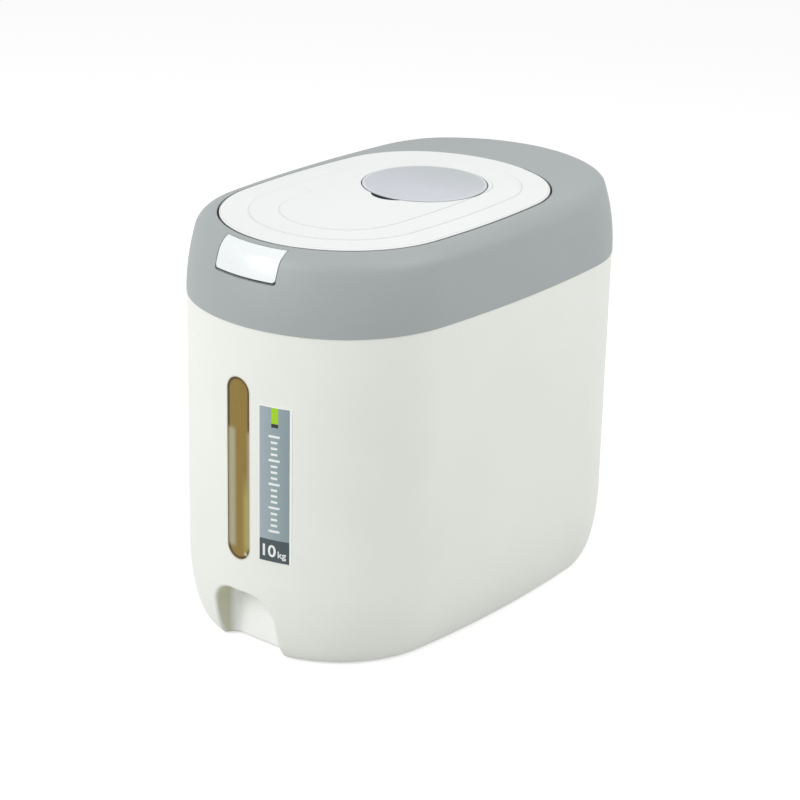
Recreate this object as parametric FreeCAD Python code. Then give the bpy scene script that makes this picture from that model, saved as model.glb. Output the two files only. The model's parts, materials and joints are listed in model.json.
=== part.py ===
import FreeCAD, Part
import math
import os
from collections import namedtuple

# Rice bin with a sprung flip lid, a push latch and a measuring cup kept in the lid.
# Frame: +Z up, front face towards -Y, right side towards +X, origin under the middle of the base.
# All sizes are in millimetres. Every node is written to parts/NODE.step.

Vector = FreeCAD.Vector

# Overall size
bin_length = 305.0
bin_width = 185.4
total_height = 260.0

# Plan outline at the seam: bowed sides, rounded ends and soft corners, all tangent arcs
# The radii of the ends and corners are given as how much they differ from half the width.
side_arc = 773.0
front_arc_more = 5.1
front_corner_less = 8.9
rear_arc_more = 2.0
rear_corner_less = 17.6

# Body of the bin, from the foot up to the seam under the cover
cover_height = 46.5
seam_step = 0.4
body_wall = 2.6
side_draft = 0.05
front_draft = 0.3
rear_draft = 0.05
base_round_width = 13.2
base_round_height = 50.5
foot_lift = 0.8
floor_underside_z = 7.4
floor_thickness = 2.6
foot_ring_width = 6.5
collar_height = 6.0
collar_depth = 8.0
collar_wall = 2.0
rib_thickness = 2.0
rib_clear = 2.2
rib_pitch = 60.0

# Hand-hold at the foot of the front
hold_half_width = 23.0
hold_top_z = 42.0
hold_top_radius = 17.0
hold_back_inset = 22.5
hold_inner_radius = 6.0
hold_rim_round = 2.0

# Anti-slip feet
pad_radius = 7.0
pad_thickness = 2.0
pad_edge = 0.4
pad_pocket_wall = 2.2
pad_side_inset = 44.7
pad_front_inset = 60.5
pad_rear_inset = 56.5

# Level window and level label on the front
window_width = 16.9
window_bottom_z = 63.8
window_top_drop = 32.3
window_recess = 0.5
window_gap = 0.15
window_flange = 3.0
window_flange_thickness = 1.5
label_left_x = 15.8
label_width = 20.4
label_bottom_z = 68.3
label_top_drop = 45.3
label_thickness = 0.3

# Top cover: crowned shell over the body
cover_wall = 2.4
side_crown = 242.0
front_crown = 110.0
rear_crown = 101.0
side_edge = 10.6
front_edge = 14.0
rear_edge = 4.0
smallest_edge = 0.3
collar_gap = 0.35
bead_depth = 0.5
bead_length = 34.0
bead_end_inset = 91.5
bead_height = 1.6
bead_rise = 2.6
bead_groove_gap = 0.2
crown_rib_thickness = 1.6
crown_rib_pitch = 40.0

# Lid
lid_side_rim = 16.5
lid_front_rim = 19.6
lid_rear_ledge = 60.4
lid_side_arc = 530.0
lid_end_arc_more = 11.5
lid_front_corner_less = 2.2
lid_rear_corner_less = 12.9
lid_rise = 1.5
lid_gap = 1.2
lid_wall = 2.2
lid_edge_round = 1.5
terrace_rise = 0.35
terrace_inset = 17.0
terrace_pitch = 18.0
terrace_slope = 1.0
lid_screw_pitch = 42.0

# Recess that the lid lies in
recess_depth = 15.0
recess_wall = 2.4
skirt_clear = 2.0

# Mouth of the bin and its seal
mouth_side_margin = 14.5
mouth_front_margin = 14.5
mouth_rear_margin = 27.5
mouth_side_arc = 520.0
mouth_end_arc_more = 14.3
mouth_front_corner_less = 2.7
mouth_rear_corner_less = 17.7
neck_wall = 2.0
neck_rise = 3.0
neck_drop = 4.0
seal_gap = 0.3
seal_thickness = 2.2
seal_overhang = 2.5
seal_lip = 1.0
seal_keeper = 1.2
seal_keeper_drop = 1.5

# Inner lid moulding and its cup well
lid_base_thickness = 2.0
lid_base_gap = 0.15
well_wall = 2.0
well_clearance = 0.8
well_floor_gap = 2.0
well_rise = 1.8
scoop_radius = 15.0
scoop_reach = 4.4
scoop_rise = 1.0
seat_width = 1.7
seat_gap = 0.5
seat_drop = 0.3

# Measuring cup, kept upside down
cup_setback = 75.2
cup_proud = 0.5
cup_disc_radius = 38.7
cup_disc_thickness = 3.0
cup_disc_edge = 0.9
cup_dish = 1.6
cup_rim_width = 2.6
cup_height = 54.0
cup_wall = 1.6
cup_mouth_less = 2.5
cup_bead = 0.4
cup_bead_height = 2.0
cup_base_less = 4.3
cup_base_web = 0.6

# Hidden gooseneck hinge
hinge_setback = 8.0
hinge_drop = 7.0
hinge_pin_radius = 2.0
hinge_running = 0.05
press_clearance = 0.02
pin_chamfer = 0.3
knuckle_radius = 4.2
arm_x = 18.0
arm_width = 8.0
arm_thickness = 4.5
arm_depth = 15.0
arm_reach = 20.0
arm_bend = 2.5
arm_inner_bend = 1.0
arm_pad_length = 12.5
arm_pad_thickness = 3.0
arm_screw_inset = 4.4
arm_side_gap = 1.0
cheek_thickness = 3.0
bracket_thickness = 2.4
bracket_setback = 6.0
bracket_length = 23.0
bracket_screw_inset = 6.0
bar_radius = 2.0
pocket_half_width = 29.5
pocket_front_room = 8.5
pocket_rear_room = 1.5
pocket_floor_room = 3.0
pocket_wall = 2.2
pocket_corner = 3.0
pocket_cover_thickness = 2.0
lid_swing_clearance = 0.45
relief_side_margin = 23.2

# Torsion springs of the lid
torsion_wire = 0.5
torsion_radius = 3.4
torsion_pitch = 1.25
torsion_turns = 4
torsion_middle_gap = 1.6
torsion_leg = 13.0
spring_clear = 0.3

# Push latch
button_half_width = 22.8
button_height = 18.0
button_wall = 2.0
button_lid_margin = 5.2
button_side_gap = 0.6
button_top_gap = 0.5
button_bottom_gap = 1.5
button_corner = 2.0
latch_setback = 5.5
latch_drop = 8.5
latch_pin_radius = 1.25
latch_boss_radius = 2.1
cheek_x = 14.8
cheek_width = 2.4
web_thickness = 1.2
web_gap = 0.1
ear_gap = 0.5
ear_width = 2.8
ear_half_length = 2.8
ear_front_length = 2.2
hook_x = 11.3
hook_width = 2.0
hook_shank = 3.0
hook_drop = 4.8
hook_bar_height = 2.2
hook_bar_depth = 2.3
hook_gap = 0.4
hook_lead = 0.6
catch_half_width = 7.0
catch_inset = 0.4
catch_thickness = 2.0
catch_grip = 1.6
catch_clear = 0.3
catch_lip = 2.1
catch_bevel = 0.7
catch_gusset = 3.0
catch_slot_side = 1.2
catch_slot_front = 1.9
catch_slot_rear = 2.4
latch_spring_drop = 6.2
latch_spring_radius = 2.2
latch_spring_wire = 0.3
latch_spring_turns = 6
latch_spigot_radius = 1.4
latch_spigot_length = 1.8
tray_depth = 6.8
tray_wall = 2.0
tray_rear_gap = 0.5
tray_fit = 0.3
tray_button_gap = 1.5
tray_lug_gap = 1.2
tray_lug_rise = 3.4

# Spring wire
coil_sides = 12
wire_sides = 6

# Self-tapping screws
screw_radius = 1.25
screw_head_radius = 2.6
screw_head_height = 1.6
screw_head_bevel = 0.6
screw_pilot = 0.02
screw_clearance = 0.3
boss_radius = 3.4
boss_wall = 0.6
screw_boss_height = 6.0
screw_bite = 5.2
screw_tip_room = 0.4
weld = 0.5

# Gap between parts that stack, how far a cut runs past what it cuts, and the size of a rounding error
part_gap = 0.15
overrun = 5.0
tiny = 1e-3


Plan = namedtuple("Plan", "width length side front front_corner rear rear_corner y")
Arc = namedtuple("Arc", "x y radius start end")
Pole = namedtuple("Pole", "inset z weight")


# ---------------------------------------------------------------- plan outlines

def inset(plan, side, front=None, rear=None):
    """Outline further in by the given amounts at the sides, the front and the rear."""
    front = side if front is None else front
    rear = side if rear is None else rear
    return Plan(plan.width - 2 * side, plan.length - front - rear, plan.side - side,
                plan.front - side, plan.front_corner - side,
                plan.rear - side, plan.rear_corner - side, plan.y + (front - rear) / 2)


def corner_arc(plan, end, corner):
    """Centre of a corner in the first quadrant, and the bearings where it meets side and end."""
    side_centre = Vector(plan.width / 2 - plan.side, 0, 0)
    end_centre = Vector(0, plan.length / 2 - end, 0)
    side_reach = plan.side - corner
    end_reach = end - corner
    between = end_centre - side_centre
    gap = between.Length
    along = (side_reach ** 2 - end_reach ** 2 + gap ** 2) / (2 * gap)
    across = math.sqrt(side_reach ** 2 - along ** 2)
    step = between / gap
    centre = side_centre + step * along + Vector(-step.y, step.x, 0) * across
    from_side = centre - side_centre
    from_end = centre - end_centre
    return centre, math.atan2(from_side.y, from_side.x), math.atan2(from_end.y, from_end.x)


def sectors(plan):
    """The eight tangent arcs of an outline, anticlockwise from the right side."""
    front, front_side, front_end = corner_arc(plan, plan.front, plan.front_corner)
    rear, rear_side, rear_end = corner_arc(plan, plan.rear, plan.rear_corner)
    half = plan.width / 2 - plan.side
    turn = math.pi
    return [Arc(half, plan.y, plan.side, -front_side, rear_side),
            Arc(rear.x, plan.y + rear.y, plan.rear_corner, rear_side, rear_end),
            Arc(0, plan.y + plan.length / 2 - plan.rear, plan.rear, rear_end, turn - rear_end),
            Arc(-rear.x, plan.y + rear.y, plan.rear_corner, turn - rear_end, turn - rear_side),
            Arc(-half, plan.y, plan.side, turn - rear_side, turn + front_side),
            Arc(-front.x, plan.y - front.y, plan.front_corner, turn + front_side, turn + front_end),
            Arc(0, plan.y - plan.length / 2 + plan.front, plan.front, turn + front_end, 2 * turn - front_end),
            Arc(front.x, plan.y - front.y, plan.front_corner, 2 * turn - front_end, 2 * turn - front_side)]


def on_arc(arc, bearing, z):
    return Vector(arc.x + arc.radius * math.cos(bearing), arc.y + arc.radius * math.sin(bearing), z)


def plan_wire(plan, z):
    """Closed outline of eight tangent arcs at height z."""
    arcs = [Part.Arc(on_arc(arc, arc.start, z), on_arc(arc, (arc.start + arc.end) / 2, z), on_arc(arc, arc.end, z))
            for arc in sectors(plan)]
    return Part.Wire([arc.toShape() for arc in arcs])


def prism(plan, low, high):
    """Upright block with a plan outline."""
    return Part.Face(plan_wire(plan, low)).extrude(Vector(0, 0, high - low))


def arc_poles(arc, pieces):
    """Poles and weights of an arc as a rational curve of degree two."""
    step = (arc.end - arc.start) / pieces
    weight = math.cos(step / 2)
    poles = [(on_arc(arc, arc.start, 0), 1.0)]
    for i in range(pieces):
        bearing = arc.start + i * step
        outer = arc._replace(radius=arc.radius / weight)
        poles.append((on_arc(outer, bearing + step / 2, 0), weight))
        poles.append((on_arc(arc, bearing + step, 0), 1.0))
    return poles


def skin_face(index, plans, from_profile, to_profile):
    """One of the eight faces of a form; a corner turns smoothly from one profile to the next."""
    corner = index % 2 == 1
    blends = (0.0, 0.0, 0.5, 1.0, 1.0) if corner else (0.0, 0.0, 0.0)
    rows = [arc_poles(sectors(plan)[index], 2 if corner else 1) for plan in plans]
    poles = []
    weights = []
    for u, blend in enumerate(blends):
        column = []
        column_weights = []
        for row, start, end in zip(rows, from_profile, to_profile):
            point, weight = row[u]
            column.append(Vector(point.x, point.y, start.z + (end.z - start.z) * blend))
            column_weights.append(weight * (start.weight + (end.weight - start.weight) * blend))
        poles.append(column)
        weights.append(column_weights)
    surface = Part.BSplineSurface()
    u_mults, u_knots = ([3, 2, 3], [0.0, 1.0, 2.0]) if corner else ([3, 3], [0.0, 1.0])
    surface.buildFromPolesMultsKnots(poles, u_mults, [3, 2, 3], u_knots, [0.0, 1.0, 2.0],
                                     False, False, 2, 2, weights)
    return surface.toShape()


def profiled_form(side, front, rear):
    """Solid whose wall follows its own profile of two arcs at the sides, the front and the rear."""
    plans = [inset(seam_plan, s.inset, f.inset, r.inset) for s, f, r in zip(side, front, rear)]
    profiles = [side, side, rear, rear, side, side, front, front]
    following = [side, rear, rear, side, side, front, front, side]
    faces = [skin_face(i, plans, profiles[i], following[i]) for i in range(8)]
    faces += [Part.Face(plan_wire(plans[i], side[i].z)) for i in (0, -1)]
    shell = Part.makeShell(faces)
    shell.sewShape()
    solid = Part.makeSolid(shell)
    if solid.Volume < 0:
        solid.reverse()
    return solid


# ---------------------------------------------------------------- small shapes

def box(x0, x1, y0, y1, z0, z1):
    return Part.makeBox(x1 - x0, y1 - y0, z1 - z0, Vector(x0, y0, z0))


def rod(radius, start, end):
    """Round bar between two points."""
    run = end - start
    return Part.makeCylinder(radius, run.Length, start, run)


def upright(radius, x, y, low, high):
    return Part.makeCylinder(radius, high - low, Vector(x, y, low), Vector(0, 0, 1))


def along_x(radius, y, z, x0, x1):
    return Part.makeCylinder(radius, x1 - x0, Vector(x0, y, z), Vector(1, 0, 0))


def plate_x(points, x0, x1):
    """Flat plate from x0 to x1 with a straight-sided outline of (y, z) points."""
    corners = [Vector(x0, y, z) for y, z in points]
    face = Part.Face(Part.makePolygon(corners + corners[:1]))
    return face.extrude(Vector(x1 - x0, 0, 0))


def fuse(shapes):
    return shapes[0].multiFuse(shapes[1:]).removeSplitter()


def mirrored(shape):
    return shape.mirror(Vector(0, 0, 0), Vector(1, 0, 0))


def screw(x, y, face_z, depth):
    """Pan-head screw driven upwards; its head sits under face_z."""
    head = upright(screw_head_radius, x, y, face_z - screw_head_height, face_z)
    bevelled = head.makeChamfer(screw_head_bevel, [head.Edges[2]])
    return bevelled.fuse(upright(screw_radius, x, y, face_z, face_z + depth)).removeSplitter()


def pilot(x, y, low, high):
    """Hole that a screw cuts its thread in."""
    return upright(screw_radius + screw_pilot, x, y, low, high)


def coil(radius, turns, pitch):
    """Points of a helix that climbs +Z from +X."""
    steps = math.ceil(turns * coil_sides)
    angles = [2 * math.pi * turns * step / steps for step in range(steps + 1)]
    return [Vector(radius * math.cos(a), radius * math.sin(a), pitch * a / (2 * math.pi)) for a in angles]


def bent_wire(points, radius):
    """Six-sided wire with straight runs from point to point."""
    ring = Part.makeCircle(radius, points[0], points[1] - points[0])
    section = Part.makePolygon(ring.discretize(wire_sides + 1))
    return Part.makePolygon(points).makePipeShell([section], True, False, 1)


# ---------------------------------------------------------------- the forms

def rounded_plan(width, length, side, front, front_corner, rear, rear_corner, y):
    """Outline whose end and corner radii are given as how much they exceed half the width."""
    half = width / 2
    return Plan(width, length, side, half + front, half + front_corner, half + rear, half + rear_corner, y)


seam_plan = rounded_plan(bin_width, bin_length, side_arc, front_arc_more, -front_corner_less,
                         rear_arc_more, -rear_corner_less, 0.0)
lid_width = bin_width - 2 * lid_side_rim
lid_length = bin_length - lid_front_rim - lid_rear_ledge
lid_centre_y = (lid_front_rim - lid_rear_ledge) / 2
lid_plan = rounded_plan(lid_width, lid_length, lid_side_arc, lid_end_arc_more, -lid_front_corner_less,
                        lid_end_arc_more, -lid_rear_corner_less, lid_centre_y)
mouth_plan = rounded_plan(lid_width - 2 * mouth_side_margin,
                          lid_length - mouth_front_margin - mouth_rear_margin, mouth_side_arc,
                          mouth_end_arc_more, -mouth_front_corner_less,
                          mouth_end_arc_more, -mouth_rear_corner_less,
                          lid_centre_y + (mouth_front_margin - mouth_rear_margin) / 2)
front_y = -bin_length / 2
lid_front_y = lid_centre_y - lid_length / 2
lid_rear_y = lid_centre_y + lid_length / 2
mouth_front_y = lid_front_y + mouth_front_margin
front_band_y = mouth_front_y

# Heights of the lid, the cover and the seam, counted down from the top of the cup's disc
lid_top_z = total_height - cup_proud
cover_top_z = lid_top_z - lid_rise
seam_z = cover_top_z - cover_height

# Heights of the bin body and of what is set in its front
window_top_z = seam_z - window_top_drop
label_top_z = seam_z - label_top_drop
floor_top_z = floor_underside_z + floor_thickness
collar_top_z = seam_z + collar_height
bead_z = seam_z + bead_rise

# Heights of the recess, counted down from the top of the cover
ledge_under_z = cover_top_z - cover_wall
recess_floor_z = cover_top_z - recess_depth
recess_under_z = recess_floor_z - recess_wall
neck_top_z = recess_floor_z + neck_rise
neck_low_z = recess_under_z - neck_drop
seal_z = neck_top_z + seal_gap
lid_base_z = seal_z + seal_thickness
lid_base_top_z = lid_base_z + lid_base_thickness
lid_skirt_z = recess_floor_z + skirt_clear
lid_low_top_z = lid_top_z - 2 * terrace_rise
hollow_top_z = lid_low_top_z - lid_wall

# Cup and its well
cup_y = lid_rear_y - cup_setback
cup_mouth_radius = cup_disc_radius - cup_mouth_less
cup_base_radius = cup_disc_radius - cup_base_less
well_radius = cup_mouth_radius + well_clearance
cup_mouth_z = total_height - cup_height
cup_disc_z = total_height - cup_disc_thickness
well_floor_z = cup_mouth_z - well_floor_gap
well_top_z = lid_base_top_z + well_rise
scoop_floor_z = recess_floor_z + scoop_rise
scoop_y = cup_y - cup_disc_radius - scoop_reach + scoop_radius

# Hinge axis, its bracket and the pocket round it
hinge_y = lid_rear_y + hinge_setback
hinge_z = cover_top_z - hinge_drop
arm_front_y = hinge_y - arm_reach
arm_low_z = hinge_z - arm_depth
arm_pad_y = arm_front_y + arm_thickness - arm_pad_length
bar_y = arm_front_y + arm_thickness / 2
bar_z = arm_low_z + arm_thickness / 2
bracket_y = hinge_y + bracket_setback
bracket_rear_y = bracket_y + bracket_length
bracket_low_z = hinge_z - torsion_radius + torsion_wire + part_gap
bracket_top_z = bracket_low_z + bracket_thickness
bracket_outer_x = arm_x + arm_width / 2 + arm_side_gap + cheek_thickness
pocket_front_y = arm_front_y - pocket_front_room
pocket_rear_y = bracket_rear_y + pocket_rear_room
pocket_bottom_z = arm_low_z - pocket_floor_room

# Latch axis, catch leg, hook and tray
latch_y = lid_front_y - latch_setback
latch_z = cover_top_z - latch_drop
button_bottom_z = cover_top_z - button_height
latch_spring_z = latch_z - latch_spring_drop
ear_x = cheek_x + cheek_width + ear_gap
catch_y = lid_front_y + lid_wall + catch_inset
hook_bar_z = recess_under_z - hook_drop
hook_bar_y = catch_y + catch_thickness + hook_gap
tray_bottom_z = hook_bar_z - tray_depth
tray_top_z = button_bottom_z - tray_button_gap
tray_rear_y = mouth_front_y - neck_wall - tray_rear_gap
tray_lug_x = ear_x + ear_width + boss_radius + tray_lug_gap
tray_lug_y = tray_rear_y - tray_wall / 2
tray_lug_z = tray_bottom_z + tray_lug_rise


def body_profile(draft, depth, bottom_z):
    """Elliptical turn at the base, then a straight wall with draft up to the seam."""
    turn_z = foot_lift + base_round_height
    slope = math.tan(math.radians(draft))

    def wall_inset(z):
        return seam_step + depth + (seam_z - z) * slope

    middle_z = (turn_z + seam_z) / 2
    return [Pole(wall_inset(bottom_z) + base_round_width - depth, bottom_z, 1.0),
            Pole(wall_inset(bottom_z), bottom_z, math.sqrt(0.5)),
            Pole(wall_inset(turn_z), turn_z, 1.0),
            Pole(wall_inset(middle_z), middle_z, 1.0),
            Pole(wall_inset(seam_z), seam_z, 1.0)]


def body_form(depth, bottom_z):
    """Solid inside the body's outer face, further in by depth, from bottom_z to the seam."""
    return profiled_form(*[body_profile(draft, depth, bottom_z)
                           for draft in (side_draft, front_draft, rear_draft)])


def foot_plan():
    """Outline of the body where it meets the floor."""
    poles = [body_profile(draft, 0.0, foot_lift)[0].inset for draft in (side_draft, front_draft, rear_draft)]
    return inset(seam_plan, *poles)


def crown_profile(crown, edge, depth):
    """Crowned wall that starts upright at the seam, and the round edge that turns it into the top."""
    radius = crown - depth
    edge_radius = max(edge - depth, smallest_edge)
    edge_z = cover_top_z - depth - edge_radius
    across = math.sqrt((radius - edge_radius) ** 2 - (edge_z - seam_z) ** 2)
    turn = math.atan2(edge_z - seam_z, across)
    rest = (math.pi / 2 - turn) / 2
    reach = edge_radius / math.cos(rest)
    return [Pole(depth, seam_z, 1.0),
            Pole(depth, seam_z + radius * math.tan(turn / 2), math.cos(turn / 2)),
            Pole(crown - radius * math.cos(turn), seam_z + radius * math.sin(turn), 1.0),
            Pole(crown - across - reach * math.cos(turn + rest), edge_z + reach * math.sin(turn + rest),
                 math.cos(rest)),
            Pole(crown - across, edge_z + edge_radius, 1.0)]


def cover_form(depth):
    """Solid inside the cover's outer face, further in and lower by depth."""
    return profiled_form(crown_profile(side_crown, side_edge, depth),
                         crown_profile(front_crown, front_edge, depth),
                         crown_profile(rear_crown, rear_edge, depth))


def crown_inset(z, crown, edge, depth):
    """How far in the crowned wall is at height z, above or below where the round edge starts."""
    profile = crown_profile(crown, edge, depth)
    if z <= profile[2].z:
        return crown - math.sqrt((crown - depth) ** 2 - (z - seam_z) ** 2)
    return profile[4].inset - math.sqrt((edge - depth) ** 2 - (z - cover_top_z + edge) ** 2)


def window_block(grow):
    """Block through the front wall with the window's upright stadium outline, grown by grow."""
    radius = window_width / 2 + grow
    low = window_bottom_z - grow + radius
    high = window_top_z + grow - radius
    core = box(-radius, radius, front_y - overrun, front_band_y, low, high)
    ends = [rod(radius, Vector(0, front_y - overrun, z), Vector(0, front_band_y, z)) for z in (low, high)]
    return fuse([core] + ends)


tub_front_y = lid_front_y - lid_gap - recess_wall
button_back_y = front_y + crown_inset(latch_spring_z, front_crown, front_edge, button_wall)


# ---------------------------------------------------------------- body of the bin

def hand_hold(grow):
    """Arched niche at the foot of the front, grown on its inside by grow."""
    half = hold_half_width + grow
    top = hold_top_z + grow
    radius = hold_top_radius + grow
    front = front_y - overrun
    back = front_y + hold_back_inset + grow
    drop = math.sqrt(0.5) * radius

    def corner(sign):
        return Part.Arc(Vector(sign * half, front, top - radius),
                        Vector(sign * (half - radius + drop), front, top - radius + drop),
                        Vector(sign * (half - radius), front, top)).toShape()

    low_left = Vector(-half, front, -overrun)
    low_right = Vector(half, front, -overrun)
    lines = [Part.makeLine(low_left, Vector(-half, front, top - radius)),
             Part.makeLine(Vector(radius - half, front, top), Vector(half - radius, front, top)),
             Part.makeLine(Vector(half, front, top - radius), low_right),
             Part.makeLine(low_right, low_left)]
    outline = Part.Wire([lines[0], corner(-1), lines[1], corner(1), lines[2], lines[3]])
    niche = Part.Face(outline).extrude(Vector(0, back - front, 0))
    inner = [edge for edge in niche.Edges
             if abs(edge.CenterOfMass.y - back) < tiny and edge.CenterOfMass.z > 0]
    return niche.makeFillet(hold_inner_radius + grow, inner)


def hold_rim(shape):
    """Curved edges where the hand-hold breaks through the front wall."""
    half = hold_half_width + weld
    return [edge for edge in shape.Edges
            if -half < edge.BoundBox.XMin and edge.BoundBox.XMax < half
            and edge.BoundBox.ZMax < hold_top_z + weld
            and edge.BoundBox.YMin < front_y + hold_back_inset / 2
            and edge.Curve.TypeId != "Part::GeomLine"]


def pad_places():
    x = bin_width / 2 - pad_side_inset
    return [(sign * x, y) for sign in (-1, 1)
            for y in (front_y + pad_front_inset, -front_y - pad_rear_inset)]


def base_underside():
    """Hollow under the floor, inside the foot ring, less its ribs and foot bosses."""
    rim = inset(foot_plan(), foot_ring_width)
    hollow = prism(rim, -overrun, floor_underside_z)
    half = rib_thickness / 2
    low = foot_lift + rib_clear
    ribs = [box(-bin_width, bin_width, y - half, y + half, low, total_height)
            for y in (-rib_pitch, 0.0, rib_pitch)]
    ribs.append(box(-half, half, front_y, -front_y, low, total_height))
    bosses = [upright(pad_radius + pad_pocket_wall, x, y, foot_lift, total_height) for x, y in pad_places()]
    return hollow.cut(fuse(ribs + bosses + [hand_hold(body_wall)]))


def snap_beads():
    """Six short beads round the collar that hold the cover down."""
    outer = cover_wall + collar_gap
    ring = prism(inset(seam_plan, outer - bead_depth), bead_z, bead_z + bead_height)
    ring = ring.cut(prism(inset(seam_plan, outer + collar_wall / 2), bead_z - overrun, collar_top_z + overrun))
    half = bead_length / 2
    spans = [box(-bin_width, bin_width, y - half, y + half, bead_z, bead_z + bead_height)
             for y in (front_y + bead_end_inset, -front_y - bead_end_inset)]
    spans.append(box(-half, half, -bin_length, bin_length, bead_z, bead_z + bead_height))
    return ring.common(fuse(spans))


def make_bin_body():
    inner = body_form(body_wall, floor_top_z).cut(hand_hold(body_wall))
    shell = body_form(0.0, foot_lift).cut(inner)
    outer = cover_wall + collar_gap
    collar = prism(inset(seam_plan, outer), seam_z - collar_depth, collar_top_z)
    collar = collar.cut(prism(inset(seam_plan, outer + collar_wall), seam_z - collar_depth - overrun,
                             collar_top_z + overrun))
    shell = fuse([shell, collar, snap_beads()])
    shell = shell.cut(hand_hold(0.0)).cut(base_underside())
    for x, y in pad_places():
        shell = shell.cut(upright(pad_radius + part_gap, x, y, -overrun, pad_thickness))
    shell = shell.cut(window_block(window_gap))
    return shell.makeFillet(hold_rim_round, hold_rim(shell))


def make_foot_pads():
    pads = []
    for x, y in pad_places():
        pad = upright(pad_radius, x, y, 0, pad_thickness)
        pads.append(pad.makeChamfer(pad_edge, [pad.Edges[2]]))
    return Part.makeCompound(pads)


def front_wall(depth):
    """The body's outer form, further in by depth, for what is set in its front."""
    return body_form(depth, foot_lift)


def make_level_window():
    """Clear pane that fills the slot, with a flange glued to the inside of the wall."""
    back = front_wall(body_wall + window_flange_thickness)
    pane = window_block(0.0).common(front_wall(window_recess)).cut(back)
    flange = window_block(window_flange).common(front_wall(body_wall)).cut(back)
    return pane.fuse(flange).removeSplitter()


def make_level_label():
    block = box(label_left_x, label_left_x + label_width, front_y - overrun, front_band_y,
                label_bottom_z, label_top_z)
    return block.common(front_wall(-label_thickness)).cut(front_wall(0.0))


# ---------------------------------------------------------------- top cover

def recess_block(grow, low, high):
    return prism(inset(lid_plan, -lid_gap - grow), low, high)


def button_prism(gap_side, gap_bottom, gap_top):
    """Block whose sides, bottom and top edge bound the latch button, grown by the gaps."""
    half = button_half_width + gap_side
    low = button_bottom_z - gap_bottom
    block = box(-half, half, front_y - overrun, lid_centre_y, low, total_height)
    lower = [edge for edge in block.Edges
             if abs(edge.CenterOfMass.z - low) < tiny and abs(abs(edge.CenterOfMass.x) - half) < tiny]
    block = block.makeFillet(button_corner, lower)
    return block.cut(prism(inset(lid_plan, gap_top - button_lid_margin), 0, total_height + overrun))


def hinge_pocket(grow, low, high):
    """Room under the rear ledge for the gooseneck arms and the springs."""
    wide = pocket_half_width + grow
    block = box(-wide, wide, pocket_front_y - grow, pocket_rear_y + grow, low, high)
    return block.makeFillet(pocket_corner + grow, upright_edges(block))


def upright_edges(shape):
    return [edge for edge in shape.Edges if abs(edge.Vertexes[0].Point.z - edge.Vertexes[-1].Point.z) > tiny]


def pocket_corners():
    """Places of the four screws of the hinge cover."""
    margin = boss_radius - boss_wall
    return [(x, y) for x in (margin - pocket_half_width, pocket_half_width - margin)
            for y in (pocket_front_y + margin, pocket_rear_y - margin)]


def bracket_screw_places():
    return [(x, y) for x in (-arm_x, arm_x)
            for y in (bracket_y + bracket_screw_inset, bracket_rear_y - bracket_screw_inset)]


def tray_screw_places():
    return [(x, tray_lug_y) for x in (-tray_lug_x, tray_lug_x)]


def crown_ribs():
    """Short ribs that brace the crowned wall against the recess."""
    half = crown_rib_thickness / 2
    near = lid_width / 2 + lid_gap + recess_wall / 2
    ribs = []
    for y in [step * crown_rib_pitch for step in (-2, -1, 0, 1, 2)]:
        ribs.append(box(near, bin_width / 2, y - half, y + half, recess_under_z, ledge_under_z + weld))
        ribs.append(mirrored(ribs[-1]))
    inside = cover_form(cover_wall - weld)
    return [rib.common(inside) for rib in ribs]


def bead_groove():
    """Groove inside the cover that snaps over the beads of the collar."""
    low = bead_z - bead_groove_gap
    high = bead_z + bead_height + bead_groove_gap
    ring = prism(inset(seam_plan, cover_wall - bead_depth), low, high)
    return ring.cut(prism(inset(seam_plan, cover_wall + weld), low - overrun, high + overrun))


def make_top_cover():
    shell = cover_form(0.0).cut(cover_form(cover_wall))
    tub = recess_block(recess_wall, recess_under_z, ledge_under_z + weld)
    pocket = hinge_pocket(pocket_wall, pocket_bottom_z, ledge_under_z + weld)
    cover = fuse([shell, tub, pocket] + crown_ribs())
    cover = cover.cut(recess_block(0.0, recess_floor_z, total_height + overrun))
    cover = cover.cut(hinge_pocket(0.0, pocket_bottom_z - overrun, ledge_under_z))
    neck = prism(inset(mouth_plan, -neck_wall), neck_low_z, neck_top_z)
    studs = [upright(boss_radius, x, y, bracket_top_z, ledge_under_z + weld)
             for x, y in bracket_screw_places()]
    studs += [upright(boss_radius, x, y, tray_lug_z + tray_wall, recess_floor_z - weld)
              for x, y in tray_screw_places()]
    studs += [upright(boss_radius, x, y, pocket_bottom_z, pocket_bottom_z + screw_boss_height)
              for x, y in pocket_corners()]
    cover = fuse([cover, neck] + studs)
    cover = cover.cut(prism(mouth_plan, neck_low_z - overrun, neck_top_z + overrun))
    cover = cover.cut(button_prism(button_side_gap, button_bottom_gap, button_top_gap))
    half = catch_half_width + catch_slot_side
    cover = cover.cut(box(-half, half, catch_y - catch_slot_front, catch_y + catch_thickness + catch_slot_rear,
                          recess_under_z - overrun, recess_floor_z + overrun))
    cover = cover.fuse(rod(latch_spigot_radius, Vector(0, tub_front_y + weld, latch_spring_z),
                           Vector(0, tub_front_y - latch_spigot_length, latch_spring_z)))
    cover = cover.cut(bead_groove())
    for x, y in bracket_screw_places():
        cover = cover.cut(pilot(x, y, bracket_top_z - overrun, bracket_top_z + screw_bite))
    for x, y in tray_screw_places():
        cover = cover.cut(pilot(x, y, tray_lug_z, tray_lug_z + tray_wall + screw_bite))
    for x, y in pocket_corners():
        cover = cover.cut(pilot(x, y, pocket_bottom_z - overrun, pocket_bottom_z + screw_bite))
    return cover.removeSplitter()


# ---------------------------------------------------------------- lid

def side_x(plan, y):
    """Half width of an outline on its side arc."""
    return plan.width / 2 - plan.side + math.sqrt(plan.side ** 2 - (y - plan.y) ** 2)


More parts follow.
